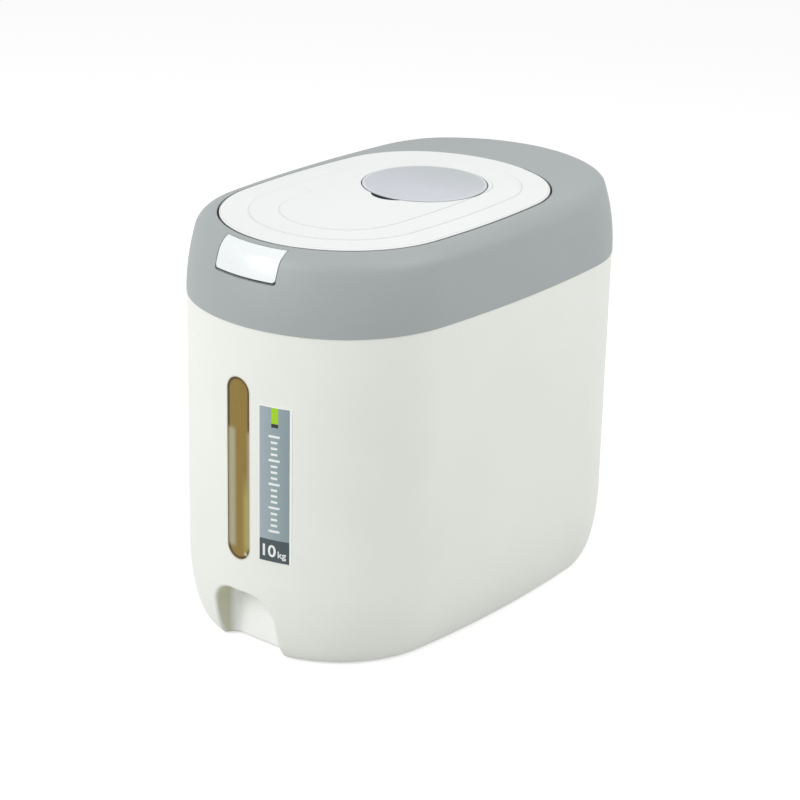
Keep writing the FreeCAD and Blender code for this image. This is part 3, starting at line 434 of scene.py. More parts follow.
@dataclass(frozen=True)
class TubPlastic(MouldedPlastic):
    """Moulded plastic of the tub, with painted shade and painted light in its hand-hold and amber round its
    sight slot.
    """

    # Painted shade on the hand-hold's cheeks and soffit, and painted light on its back wall.
    painted_hold_shade: Colour = linear(207, 208, 183)
    pale: Colour = linear(251, 253, 251)
    painted_light_depth: Span = (-146 * MM, -136 * MM)
    hold_half_width: float = 23.4 * MM
    hold_side_fade: float = 0.5 * MM
    hold_top: float = 43 * MM
    hold_back: float = -128.5 * MM
    hold_fade: float = 1 * MM
    cheek_turn: Span = (0.15, 0.85)
    amber: Colour = linear(204, 198, 172)
    amber_reach: float = 1.3 * MM

    def local_tone(self, sheet: ShaderSheet, colour: Socket) -> Socket:
        """Paints shade on the cheeks and the soffit of the hand-hold and light on its back, and tints the
        rim of the sight slot.

        Args:
            sheet: The finish's tree.
            colour: The colour so far.

        Returns:
            The colour with the toned places.
        """
        x, y, z = sheet.split(sheet.place)
        front = sheet.below(y, self.hold_back, self.hold_fade)
        across = sheet.between(x, -self.hold_half_width, self.hold_half_width, self.hold_side_fade)
        low = sheet.below(z, self.hold_top, self.hold_fade)
        inside = sheet.multiply(sheet.multiply(across, low), front)
        # Painted light: the back of the hand-hold is lightened, more the deeper it lies.
        deep = sheet.spread(y, 0, 1, *self.painted_light_depth)
        lit = sheet.blend(sheet.multiply(inside, deep), colour, self.pale)
        # Painted shade: faces of the hand-hold that don't face forwards are darkened, olive-tinted.
        forwards = sheet.work_out("ABSOLUTE", sheet.split(sheet.facing)[1])
        cheek = sheet.spread(forwards, 1, 0, *self.cheek_turn)
        warmed = sheet.blend(sheet.multiply(inside, cheek), lit, self.painted_hold_shade)
        rim = sheet.above(SIGHT_SLOT.inset(sheet, x, z), 0, self.amber_reach)
        return sheet.blend(sheet.multiply(rim, front), warmed, self.amber)


@dataclass(frozen=True)
class FrostedPlastic:
    """Cloudy see-through plastic of the measuring cup, with painted shade towards its back and round the
    disc's edge, and a painted highlight on its lip.
    """

    name: str
    colour: Colour
    milkiness: float = 1.05
    cloud_size: float = 30 * MM
    # Painted shade: the disc darkens towards its back.
    deep: Colour = linear(188, 195, 197)
    back_shade_span: Span = (8 * MM, 52 * MM)
    disc_radius: float = 38.7 * MM
    disc_y: float = 16.9 * MM
    # Painted highlight: a pale ring on the disc's lip.
    lip: Colour = linear(228, 231, 234)
    lip_highlight_share: float = 0.7
    lip_highlight_sides: Span = (36.9 * MM, 38.1 * MM)
    lip_highlight_fade: float = 0.3 * MM
    # Painted shade: the disc's side wall is dark, standing for the shade in the gap round the disc and in
    # the scoop of its well.
    edge: Colour = linear(58, 62, 68)
    edge_shade_depth: float = 0.3 * MM
    edge_span: Span = (256.5 * MM, 259.5 * MM)
    edge_shade_fade: float = 0.1 * MM
    edge_round: float = 0.4 * MM
    roughness: Span = (0.3, 0.36)
    grain_size: float = 1.2 * MM
    grain_depth: float = 0.002 * MM
    clear: float = 0.12
    bending: float = 1.5
    coat: float = 0.3
    coat_roughness: float = 0.1

    def material(self) -> Material:
        """Builds the finish.

        Returns:
            The material.
        """
        sheet = ShaderSheet(self.name)
        x, y, z = sheet.split(sheet.place)
        radius = sheet.reach(x, sheet.work_out("SUBTRACT", y, self.disc_y))
        clouds = sheet.spread(sheet.noise(self.cloud_size, Layers.SMOOTH), 0, 1)
        colour = sheet.blend(clouds, self.colour, shaded(self.colour, self.milkiness))
        # Painted shade, darker towards the back of the disc.
        colour = sheet.blend(sheet.spread(y, 0, 1, *self.back_shade_span), colour, self.deep)
        # Painted highlight on the lip.
        lip = sheet.multiply(sheet.between(radius, *self.lip_highlight_sides, self.lip_highlight_fade),
                             sheet.spread(z, 0, self.lip_highlight_share, *self.edge_span))
        colour = sheet.blend(lip, colour, self.lip)
        # Painted shade on the disc's edge.
        edge = sheet.multiply(sheet.above(radius, self.disc_radius - self.edge_shade_depth, self.edge_shade_depth),
                              sheet.between(z, *self.edge_span, self.edge_shade_fade))
        return sheet.finished({
            "Base Color": sheet.blend(edge, colour, self.edge),
            **sheet.grained(sheet.noise(self.grain_size, Layers.SOFT), self.roughness, self.grain_depth,
                            sheet.eased_edges(self.edge_round)),
            "Transmission Weight": self.clear, "IOR": self.bending,
            "Coat Weight": self.coat, "Coat Roughness": self.coat_roughness})


@dataclass(frozen=True)
class AmberWindow:
    """Tinted sight glass: dark bevelled rim, a painted reflection down its left and on its right edge, a
    painted green glint low down and a painted highlight near its foot.
    """

    name: str = "amber_window"
    body: Colour = linear(139, 117, 50)
    core: Colour = linear(145, 116, 44)
    core_sides: Span = (-1 * MM, 4 * MM)
    core_fade: float = 1.5 * MM
    cloud_size: float = 14 * MM
    cloud_stretch: Point = (3, 1, 0.4)
    cloud_share: float = 0.5
    cloud_shade: float = 0.84
    # Painted reflection: a pale stripe down the left of the window.
    painted_reflection: Colour = linear(172, 167, 139)
    reflection_share: float = 0.85
    reflection_sides: Span = (-8.3 * MM, -2.7 * MM)
    reflection_span: Span = (71 * MM, 146.5 * MM)
    reflection_side_fade: float = 1.5 * MM
    reflection_end_fade: float = 1.6 * MM
    # Painted glint: a lighter green strip low on the right.
    glint: Colour = linear(163, 155, 88)
    glint_sides: Span = (3.9 * MM, 7.4 * MM)
    glint_rise: float = 4 * MM
    glint_top: float = 112 * MM
    glint_side_fade: float = 1.6 * MM
    glint_end_fade: float = 9 * MM
    # Painted reflection: pale on the right edge, over the height of the painted stripe.
    painted_side_reflection: Colour = linear(184, 175, 144)
    side_reflection_share: float = 0.75
    side_reflection_start: float = 5.6 * MM
    rim: Colour = linear(84, 64, 16)
    rim_width: float = 2.0 * MM
    rim_washed: float = 0.9
    # Painted highlight: a small pale spot near the window's foot.
    gleam: Colour = linear(214, 200, 178)
    gleam_sides: Span = (4.4 * MM, 6.2 * MM)
    gleam_span: Span = (66.9 * MM, 68.8 * MM)
    gleam_fade: float = 0.8 * MM
    roughness: Span = (0.14, 0.22)
    grain_size: float = 3 * MM
    wave_size: float = 30 * MM
    wave_depth: float = 0.08 * MM
    coat: float = 0.2
    coat_roughness: float = 0.08
    mirror: float = 0.2

    def material(self) -> Material:
        """Builds the finish.

        Returns:
            The material.
        """
        sheet = ShaderSheet(self.name)
        x, _, z = sheet.split(sheet.place)
        colour = sheet.blend(sheet.between(x, *self.core_sides, self.core_fade), self.body, self.core)
        clouds = sheet.noise(self.cloud_size, stretch=self.cloud_stretch)
        colour = sheet.blend(sheet.spread(clouds, 0, self.cloud_share), colour,
                             shaded(self.body, self.cloud_shade))
        # Height band of the painted reflection.
        reflection_band = sheet.between(z, *self.reflection_span, self.reflection_end_fade)
        painted_reflection = sheet.multiply(sheet.between(x, *self.reflection_sides, self.reflection_side_fade), reflection_band)
        colour = sheet.blend(sheet.multiply(painted_reflection, self.reflection_share), colour, self.painted_reflection)
        # Painted glint low on the right.
        glint_foot = SIGHT_SLOT.low + self.glint_rise
        glint = sheet.multiply(sheet.between(x, *self.glint_sides, self.glint_side_fade),
                               sheet.between(z, glint_foot, self.glint_top, self.glint_end_fade))
        colour = sheet.blend(glint, colour, self.glint)
        # Painted reflection on the right edge.
        right = sheet.spread(x, 0, self.side_reflection_share, self.side_reflection_start, SIGHT_SLOT.half_width)
        colour = sheet.blend(sheet.multiply(right, reflection_band), colour, self.painted_side_reflection)
        # Darker round the outline, less so over the height of the painted reflection.
        outline = sheet.below(SIGHT_SLOT.inset(sheet, x, z), self.rim_width, self.rim_width / 2)
        off_reflection = sheet.work_out("SUBTRACT", 1.0, sheet.multiply(reflection_band, self.rim_washed))
        colour = sheet.blend(sheet.multiply(outline, off_reflection), colour, self.rim)
        # Painted highlight near the foot.
        gleam = sheet.multiply(sheet.between(x, *self.gleam_sides, self.gleam_fade),
                               sheet.between(z, *self.gleam_span, self.gleam_fade))
        return sheet.finished({
            "Base Color": sheet.blend(gleam, colour, self.gleam),
            "Roughness": sheet.spread(sheet.noise(self.grain_size, Layers.SOFT), *self.roughness),
            "Normal": sheet.relief(sheet.noise(self.wave_size, Layers.SMOOTH), self.wave_depth),
            "Coat Weight": self.coat, "Coat Roughness": self.coat_roughness,
            "Specular IOR Level": self.mirror})


@dataclass(frozen=True)
class PrintedLabel:
    """Printed film label: grey-blue field, dark band at the foot, lime tab and black square at the head."""

    name: str = "printed_label"
    margin: Colour = linear(246, 249, 244)
    field_left: Colour = linear(158, 173, 179)
    field_right: Colour = linear(134, 151, 155)
    sides: Span = (16.1 * MM, 35.0 * MM)
    top: float = 166.0 * MM
    band: Colour = linear(60, 74, 78)
    band_top: float = 82.5 * MM
    tab: Colour = linear(160, 208, 6)
    tab_sides: Span = (23.8 * MM, 28.1 * MM)
    tab_foot: float = 156 * MM
    square: Colour = linear(22, 26, 28)
    square_foot: float = 153.6 * MM
    roughness: Span = (0.34, 0.46)
    fibre_size: float = 0.7 * MM
    fibre_depth: float = 0.008 * MM

    def material(self) -> Material:
        """Builds the finish.

        Returns:
            The material.
        """
        sheet = ShaderSheet(self.name)
        x, _, z = sheet.split(sheet.place)
        colour = sheet.blend(sheet.spread(x, 0, 1, *self.sides), self.field_left, self.field_right)
        colour = sheet.blend(sheet.below(z, self.band_top), colour, self.band)
        column = sheet.between(x, *self.tab_sides)
        colour = sheet.blend(sheet.multiply(column, sheet.above(z, self.tab_foot)), colour, self.tab)
        square = sheet.multiply(column, sheet.between(z, self.square_foot, self.tab_foot))
        colour = sheet.blend(square, colour, self.square)
        printed = sheet.multiply(sheet.between(x, *self.sides), sheet.below(z, self.top))
        return sheet.finished({
            "Base Color": sheet.blend(printed, self.margin, colour),
            **sheet.grained(sheet.noise(self.fibre_size), self.roughness, self.fibre_depth)})


@dataclass(frozen=True)
class SoftRubber:
    """Rubber or silicone: matt, faintly dusty, with a soft sheen."""

    name: str
    colour: Colour
    dust: Colour
    dust_size: float = 7 * MM
    dust_share: float = 0.5
    dust_lies: Span = (0.45, 0.8)
    roughness: Span = (0.6, 0.8)
    grain_size: float = 0.5 * MM
    grain_depth: float = 0.015 * MM
    sheen: float = 0.3
    sheen_roughness: float = 0.5

    def material(self) -> Material:
        """Builds the finish.

        Returns:
            The material.
        """
        sheet = ShaderSheet(self.name)
        dusty = sheet.spread(sheet.noise(self.dust_size, Layers.DUSTY), 0, self.dust_share, *self.dust_lies)
        return sheet.finished({
            "Base Color": sheet.blend(dusty, self.colour, self.dust),
            **sheet.grained(sheet.noise(self.grain_size), self.roughness, self.grain_depth),
            "Sheen Weight": self.sheen, "Sheen Roughness": self.sheen_roughness})


@dataclass(frozen=True)
class DrawnSteel:
    """Plated steel wire, pin or screw with fine drawing lines."""

    name: str
    colour: Colour
    stretch: Point = (0.15, 1, 1)
    tarnish: float = 0.8
    patch_size: float = 2.5 * MM
    patch_lies: Span = (0.4, 0.7)
    roughness: Span = (0.22, 0.38)
    line_size: float = 0.25 * MM
    line_depth: float = 0.01 * MM

    def material(self) -> Material:
        """Builds the finish.

        Returns:
            The material.
        """
        sheet = ShaderSheet(self.name)
        lines = sheet.noise(self.line_size, stretch=self.stretch)
        patches = sheet.spread(sheet.noise(self.patch_size), 0, 1, *self.patch_lies)
        return sheet.finished({
            "Base Color": sheet.blend(patches, self.colour, shaded(self.colour, self.tarnish)),
            **sheet.grained(lines, self.roughness, self.line_depth),
            "Metallic": 1.0})


class Finish(Enum):
    """The finishes of the bin, by the part of it that wears them."""

    SHELL = TubPlastic("white_shell", linear(238, 241, 234), coat=0.04)
    COVER = MouldedPlastic("grey_cover", linear(164, 170, 170), grain_size=0.55 * MM, grain_depth=0.014 * MM,
                           roughness=(0.42, 0.54))
    LID = SteppedPlastic("white_lid", linear(240, 243, 241), roughness=(0.3, 0.4), coat=0.06)
    BUTTON = MouldedPlastic("white_button", linear(237, 241, 242), roughness=(0.22, 0.3), coat=0.1)
    WORKS = MouldedPlastic("natural_nylon", linear(226, 224, 212), roughness=(0.4, 0.55), glow_through=0.1)
    GREY_WORKS = MouldedPlastic("grey_nylon", linear(146, 152, 154), roughness=(0.4, 0.55))
    # Dark grey: partly the lid base's own plastic and partly painted shade, so that the cup's well and scoop
    # read as shadow.
    UNDERSIDE = MouldedPlastic("dark_underside", linear(92, 97, 100), roughness=(0.42, 0.55))
    CUP = FrostedPlastic("frosted_cup", linear(200, 204, 213))
    WINDOW = AmberWindow()
    LABEL = PrintedLabel()
    INK = MouldedPlastic("white_ink", linear(240, 244, 244), roughness=(0.4, 0.5), wave_depth=0.0)
    SEAL = SoftRubber("silicone_seal", linear(206, 210, 208), linear(226, 228, 226))
    PADS = SoftRubber("grey_rubber", linear(92, 95, 97), linear(128, 129, 128))
    PIN = DrawnSteel("steel_pin", linear(196, 198, 202))
    WIRE = DrawnSteel("spring_wire", linear(188, 190, 194), stretch=(1, 1, 1))
    SCREW = DrawnSteel("zinc_screw", linear(204, 206, 206), stretch=(1, 1, 0.2))


class PaintShop:
    """Makes each finish once and puts it on pieces."""

    def __init__(self) -> None:
        """Starts with no finish made."""
        self.made: dict[Finish, Material] = {}

    def material(self, finish: Finish) -> Material:
        """Gives a finish's material, made on its first use.

        Args:
            finish: The finish.

        Returns:
            Its material.
        """
        if finish not in self.made:
            self.made[finish] = finish.value.material()
        return self.made[finish]

    def dress(self, piece: Object, finish: Finish) -> None:
        """Gives a piece one finish all over.

        Args:
            piece: The mesh object.
            finish: The finish.
        """
        material = self.material(finish)
        if not piece.material_slots:
            piece.data.materials.append(material)
        for slot in piece.material_slots:
            slot.material = material
        log.info("%s wears %s", piece.name, material.name)


# ------------------------------------------------------------------ meshes

def new_piece(name: str, data: ID) -> Object:
    """Puts a mesh or a curve in the scene.

    Args:
        name: The object's name.
        data: Its mesh or curve.

    Returns:
        The object, at the origin.
    """
    piece = bpy.data.objects.new(name, data)
    bpy.context.scene.collection.objects.link(piece)
    return piece


def settled_mesh(piece: Object) -> Mesh:
    """Turns a piece with its modifiers, or a curve, into a plain mesh."""
    graph = bpy.context.evaluated_depsgraph_get()
    return bpy.data.meshes.new_from_object(piece.evaluated_get(graph))


def stand_in(piece: Object, node: str, body: str, crease: float) -> None:
    """Shades a piece smooth, has it ride on a body and stand for a CAD node.

    Args:
        piece: The piece.
        node: The CAD node that it replaces.
        body: The body that it moves with.
        crease: Turn between two faces, in degrees, from which their edge stays sharp.
    """
    angle = math.radians(crease)
    form = bmesh.new()
    form.from_mesh(piece.data)
    for face in form.faces:
        face.smooth = True
    for edge in form.edges:
        edge.smooth = len(edge.link_faces) == 2 and edge.calc_face_angle(0.0) < angle
    form.to_mesh(piece.data)
    form.free()
    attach(piece, body)
    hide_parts(node)
    log.info("%s stands for %s", piece.name, node)


def islands(node: Object) -> list[tuple[Vector, Vector]]:
    """Finds the separate solids of a CAD node, in the order of its corners.

    Args:
        node: The node's object.

    Returns:
        The lowest and highest corner of each solid.
    """
    form = bmesh.new()
    form.from_mesh(node.data)
    bmesh.ops.remove_doubles(form, verts=form.verts, dist=WELD)
    seen = set()
    found = []
    for first in form.verts:
        if first in seen:
            continue
        seen.add(first)
        corners = [first]
        for corner in corners:
            beyond = [edge.other_vert(corner) for edge in corner.link_edges]
            fresh = [vertex for vertex in beyond if vertex not in seen]
            seen.update(fresh)
            corners += fresh
        found.append(tuple(Vector(end(corner.co[axis] for corner in corners) for axis in range(3))
                           for end in (min, max)))
    form.free()
    return found


class NodeRecipe(NodeSheet):
    """Geometry Nodes tree with named inputs, turned into a plain mesh when it has run."""

    KINDS = {int: "NodeSocketInt", float: "NodeSocketFloat", Object: "NodeSocketObject"}

    def __init__(self, name: str) -> None:
        """Starts a tree with nothing but the mesh that enters it.

        Args:
            name: The tree's name.
        """
        super().__init__(bpy.data.node_groups.new(name, "GeometryNodeTree"))
        self.tree.is_modifier = True
        self.tree.interface.new_socket("Geometry", in_out="INPUT", socket_type="NodeSocketGeometry")
        self.inputs = self.add("NodeGroupInput")
        self.start = self.inputs.outputs["Geometry"]
        self.values: dict[str, object] = {}

    def given(self, values: dict[str, object]) -> list[Socket]:
        """Adds named inputs.

        Args:
            values: What each input is set to, by its name.

        Returns:
            The sockets that carry the values inside the tree.
        """
        for name, value in values.items():
            kind = next(kind for made_of, kind in self.KINDS.items() if isinstance(value, made_of))
            socket = self.tree.interface.new_socket(name, in_out="INPUT", socket_type=kind)
            self.values[socket.identifier] = value
        return [self.inputs.outputs[name] for name in values]

    def run(self, name: str, start: Mesh, result: Socket,
            material: Material) -> Object:
        """Ends the tree, runs it on a mesh and keeps the result as a plain piece.

        Args:
            name: The piece's name.
            start: The mesh that enters the tree.
            result: The tree's finished geometry.
            material: The piece's finish.

        Returns:
            The piece, with no modifier left on it.
        """
        self.tree.interface.new_socket("Geometry", in_out="OUTPUT", socket_type="NodeSocketGeometry")
        solid = self.add("GeometryNodeRealizeInstances", {0: result})
        dressed = self.add("GeometryNodeSetMaterial", {0: solid.outputs[0], "Material": material})
        self.add("NodeGroupOutput", {0: dressed.outputs[0]})
        piece = new_piece(name, start)
        modifier = piece.modifiers.new(name, "NODES")
        modifier.node_group = self.tree
        for identifier, value in self.values.items():
            modifier[identifier] = value
        mesh = settled_mesh(piece)
        piece.modifiers.clear()
        piece.data = mesh
        mesh.name = name
        return piece


# ------------------------------------------------------------------ screws and springs

@dataclass
class ScrewSet:
    """Cross-recessed pan-head screws that stand for one CAD node of screws."""

    node: Object
    body: str
    shop: PaintShop
    head_radius: float = 2.6 * MM
    head_height: float = 1.6 * MM
    crown_share: float = 0.35
    dome_share: float = 0.75
    dome_steps: int = 6
    shank_radius: float = 1.25 * MM
    thread_depth: float = 0.22 * MM
    pitch: float = 0.9 * MM
    flank_in: float = 0.2
    flank_out: float = 0.3
    tip_radius: float = 0.4 * MM
    recess_reach: float = 1.35 * MM
    recess_width: float = 0.55 * MM
    recess_depth: float = 0.8 * MM
    sides: int = 40
    crease: float = 30
    seed: int = 7

    def profile(self, length: float) -> list[tuple[float, float]]:
        """Gives the outline of a screw.

        Args:
            length: Height from crown to tip.

        Returns:
            Radius and height of each ring, from the domed head's crown to the tip.
        """
        rings = []
        for step in range(self.dome_steps + 1):
            turn = QUARTER_TURN * step / self.dome_steps
            rings.append((self.head_radius * (self.crown_share + (1 - self.crown_share) * math.sin(turn)),
                          self.head_height * self.dome_share * (1 - math.cos(turn))))
        core_radius = self.shank_radius - self.thread_depth
        rings += [(self.head_radius, self.head_height), (core_radius, self.head_height)]
        z = self.head_height + self.pitch / 2
        while z < length - self.pitch:
            rings += [(core_radius, z - self.pitch * self.flank_in), (self.shank_radius, z),
                      (core_radius, z + self.pitch * self.flank_out)]
            z += self.pitch
        return rings + [(core_radius, length - self.pitch / 2), (self.tip_radius, length)]

    def template(self, length: float) -> Mesh:
        """Makes one screw, crown at the origin and tip upwards.

        Args:
            length: Height from crown to tip.

        Returns:
            The screw's mesh.
        """
        form = bmesh.new()
        turns = [FULL_TURN * side / self.sides for side in range(self.sides)]
        loops = [[form.verts.new((radius * math.cos(turn), radius * math.sin(turn), z)) for turn in turns]
                 for radius, z in self.profile(length)]
        for low, high in zip(loops, loops[1:]):
            for side in range(self.sides):
                after = (side + 1) % self.sides
                form.faces.new((low[side], low[after], high[after], high[side]))
        form.faces.new(list(reversed(loops[0])))
        form.faces.new(loops[-1])
        bmesh.ops.recalc_face_normals(form, faces=form.faces)
        mesh = bpy.data.meshes.new(self.node.name + "_template")
        form.to_mesh(mesh)
        form.free()
        return mesh

    def build(self) -> None:
        """Sets a screw at each of the node's places, all in one piece."""
        places = islands(self.node)
        length = max(high.z - low.z for low, high in places)
        template = new_piece(self.node.name + "_template", self.template(length))
        seats = bpy.data.meshes.new(self.node.name + "_seats")
        middles = [(low + high) / 2 for low, high in places]
        seats.from_pydata([(middle.x, middle.y, low.z) for middle, (low, _) in zip(middles, places)], [], [])
        recipe = NodeRecipe(self.node.name + "_field")
        screw, reach, width, depth, seed = recipe.given({
            "Screw": template, "Recess Reach": self.recess_reach, "Recess Width": self.recess_width,
            "Recess Depth": self.recess_depth, "Seed": self.seed})
        solid = recipe.add("GeometryNodeObjectInfo", {"Object": screw})
        cross = recipe.add("GeometryNodeMeshBoolean", {0: solid.outputs["Geometry"]}, operation="DIFFERENCE")
        # The cutter's boxes are centred on the crown, so half of their height cuts into the head.
        height = recipe.multiply(depth, 2.0)
        for size in ((reach, width, height), (width, reach, height)):
            arm = recipe.add("GeometryNodeMeshCube", {"Size": recipe.vector(*size)})
            recipe.put(cross.inputs[1], arm.outputs["Mesh"])
        turn = recipe.add("FunctionNodeRandomValue", {2: 0.0, 3: FULL_TURN, "Seed": seed}, data_type="FLOAT")
        screws = recipe.add("GeometryNodeInstanceOnPoints", {
            "Points": recipe.start, "Instance": cross.outputs["Mesh"],
            "Rotation": recipe.vector(z=turn.outputs[1])})
        finish = self.shop.material(Finish.SCREW)
        piece = recipe.run(self.node.name + "_detail", seats, screws.outputs[0], finish)
        bpy.data.objects.remove(template)
        stand_in(piece, self.node.name, self.body, self.crease)


def helix(radius: float, turns: float, pitch: float, steps_a_turn: int = 36) -> list[Vector]:
    """Winds a helix that climbs Z, starting on the X axis.

    Args:
        radius: Radius of the wire's middle line.
        turns: How many turns it has.
        pitch: Climb in one turn.
        steps_a_turn: Points in one turn.

    Returns:
        The points of the middle line.
    """
    steps = math.ceil(turns * steps_a_turn)
    angles = [FULL_TURN * turns * step / steps for step in range(steps + 1)]
    return [Vector((radius * math.cos(angle), radius * math.sin(angle), pitch * angle / FULL_TURN))
            for angle in angles]


@dataclass
class WireSpring:
    """Round-wire spring that stands for one CAD spring."""

    node: str
    body: str
    shop: PaintShop
    path: list[Vector]
    wire_radius: float
    wire_sides: int = 12
    crease: float = 50

    def build(self) -> Object:
        """Sweeps the wire along its path.

        Returns:
            The piece.
        """
        line = bpy.data.meshes.new(self.node + "_path")
        line.from_pydata(self.path, [(step, step + 1) for step in range(len(self.path) - 1)], [])
        recipe = NodeRecipe(self.node + "_sweep")
        radius, sides = recipe.given({"Wire Radius": self.wire_radius, "Wire Sides": self.wire_sides})
        curve = recipe.add("GeometryNodeMeshToCurve", {"Mesh": recipe.start})
        ring = recipe.add("GeometryNodeCurvePrimitiveCircle", {"Resolution": sides, "Radius": radius})
        wire = recipe.add("GeometryNodeCurveToMesh", {
            "Curve": curve.outputs[0], "Profile Curve": ring.outputs[0], "Fill Caps": True})
        piece = recipe.run(self.node + "_detail", line, wire.outputs[0], self.shop.material(Finish.WIRE))
        stand_in(piece, self.node, self.body, self.crease)
        return piece


# ------------------------------------------------------------------ sub-assemblies

def table(**entries: object) -> object:
    """Gives each sub-assembly its own copy of a table, by the names of its nodes."""
    return field(default_factory=lambda: dict(entries))


@dataclass
class DressedGroup:
    """Sub-assembly whose CAD nodes keep their shape and take finishes, and whose screws ride on bodies."""

    frame: dict
    shop: PaintShop
    finishes: dict[str, Finish] = table()
    screws: dict[str, str] = table()

    def build(self) -> None:
        """Puts each node's finish on it and sets the screws."""
        for node, finish in self.finishes.items():
            self.shop.dress(self.frame["nodes"][node], finish)
        for node, body in self.screws.items():
            ScrewSet(self.frame["nodes"][node], body, self.shop).build()


@dataclass
class Tub(DressedGroup):
    """White tub with its sight window, level label and rubber feet."""

    finishes: dict[str, Finish] = table(
        bin_body=Finish.SHELL, foot_pads=Finish.PADS, level_window=Finish.WINDOW, level_label=Finish.LABEL)
    ink_thickness: float = 0.06 * MM
    print_centre: float = 25.6 * MM
    tick_foot: float = 88.0 * MM
    tick_pitch: float = 3.75 * MM
    tick_count: int = 17
    tick_height: float = 1.5 * MM
    tick_joints: int = 5
    short_tick: float = 4.2 * MM
    long_tick: float = 7.0 * MM
    long_every: int = 4
    figure: str = "10"
    figure_centre: float = 21.7 * MM
    figure_height: float = 10.4 * MM
    figure_foot: float = 71.6 * MM
    unit: str = "kg"
    unit_centre: float = 30.4 * MM
    unit_height: float = 5.8 * MM
    letter_boldness: float = 0.024
    press_start: float = -1.0
    press_reach: float = 2.0

    def lettering(self, words: str, height: float, centre: float) -> Mesh:
        """Makes flat letters that stand on the foot line of the dark band, facing forwards.

        Args:
            words: What they say.
            height: Size of the type.
            centre: Place of their middle across the label.

        Returns:
            The letters' mesh, laid out in X and Z with Y as its thickness.
        """
        curve = bpy.data.curves.new("band_letters", "FONT")
        curve.body = words
        curve.size = height
        curve.align_x = "CENTER"
        curve.offset = height * self.letter_boldness
        curve.extrude = self.ink_thickness / 2
        maker = new_piece("band_letters", curve)
        mesh = settled_mesh(maker)
        bpy.data.objects.remove(maker)
        place = Matrix.Translation((centre, -self.ink_thickness / 2, self.figure_foot))
        mesh.transform(place @ Matrix.Rotation(QUARTER_TURN, 4, "X"))
        return mesh

    def figures(self) -> Mesh:
        """Makes the number in the dark band with its unit.

        Returns:
            One mesh with both.
        """
        together = bmesh.new()
        together.from_mesh(self.lettering(self.figure, self.figure_height, self.figure_centre))
        together.from_mesh(self.lettering(self.unit, self.unit_height, self.unit_centre))
        mesh = bpy.data.meshes.new("band_number")
        together.to_mesh(mesh)
        together.free()
        return mesh

    def ladder(self, recipe: NodeRecipe, thickness: Socket) -> Socket:
        """Stacks the ticks, every few of them long.

        Args:
            recipe: The print's tree.
            thickness: Thickness of the ink.

        Returns:
            The ticks' geometry, laid out as the letters are.
        """
        count, pitch, foot, centre, every, short, long, height, joints = recipe.given({
            "Tick Count": self.tick_count, "Tick Pitch": self.tick_pitch, "Tick Foot": self.tick_foot,
            "Print Centre": self.print_centre, "Long Every": self.long_every, "Short Tick": self.short_tick,
            "Long Tick": self.long_tick, "Tick Height": self.tick_height, "Tick Joints": self.tick_joints})
        places = recipe.add("GeometryNodeMeshLine", {
            "Count": count, "Offset": recipe.vector(z=pitch),
            "Start Location": recipe.vector(centre, z=foot)})
        bar = recipe.add("GeometryNodeMeshCube", {
            "Size": recipe.vector(1.0, thickness, height), "Vertices X": joints})
        index = recipe.add("GeometryNodeInputIndex").outputs[0]
        is_long = recipe.work_out("LESS_THAN", recipe.work_out("MODULO", index, every), 0.5)
        width = recipe.add("ShaderNodeMapRange", {"Value": is_long, "To Min": short, "To Max": long})
        ticks = recipe.add("GeometryNodeInstanceOnPoints", {
            "Points": places.outputs[0], "Instance": bar.outputs["Mesh"],
            "Scale": recipe.vector(width.outputs[0], 1.0, 1.0)})
        solid = recipe.add("GeometryNodeRealizeInstances", {0: ticks.outputs[0]})
        forwards = recipe.vector(y=recipe.multiply(thickness, -0.5))
        return recipe.add("GeometryNodeSetPosition", {
            "Geometry": solid.outputs[0], "Offset": forwards}).outputs[0]

    def print_label(self) -> None:
        """Prints the ladder of ticks and the number, wrapped onto the label."""
        recipe = NodeRecipe("label_print")
        thickness, label = recipe.given({
            "Ink Thickness": self.ink_thickness, "Label": self.frame["nodes"]["level_label"]})
        together = recipe.add("GeometryNodeJoinGeometry")
        for part in (recipe.start, self.ladder(recipe, thickness)):
            recipe.put(together.inputs[0], part)
        face = recipe.add("GeometryNodeObjectInfo", {"Object": label})
        x, y, z = recipe.split(recipe.add("GeometryNodeInputPosition").outputs[0])
        hit = recipe.add("GeometryNodeRaycast", {
            "Target Geometry": face.outputs["Geometry"], "Ray Length": self.press_reach,
            "Source Position": recipe.vector(x, self.press_start, z), "Ray Direction": (0.0, 1.0, 0.0)})
        on_face = recipe.add("ShaderNodeVectorMath", {0: hit.outputs["Hit Position"], 1: recipe.vector(y=y)},
                             operation="ADD")
        wrapped = recipe.add("GeometryNodeSetPosition", {
            "Geometry": together.outputs[0], "Position": on_face.outputs[0]})
        piece = recipe.run("label_print", self.figures(), wrapped.outputs[0], self.shop.material(Finish.INK))
        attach(piece, "bin")
        log.info("%s carries %d ticks", piece.name, self.tick_count)

    def build(self) -> None:
        """Dresses the tub and prints its label."""
        super().build()
        self.print_label()


@dataclass
class Cover(DressedGroup):
    """Grey cover that carries the lid's hinge and latch."""

    finishes: dict[str, Finish] = table(top_cover=Finish.COVER)


@dataclass
class Lid(DressedGroup):
    """White lid with its well for the measuring cup."""

    finishes: dict[str, Finish] = table(
        lid_top=Finish.LID, lid_base=Finish.UNDERSIDE, lid_seal=Finish.SEAL, measuring_cup=Finish.CUP)
    screws: dict[str, str] = table(lid_screws="lid")


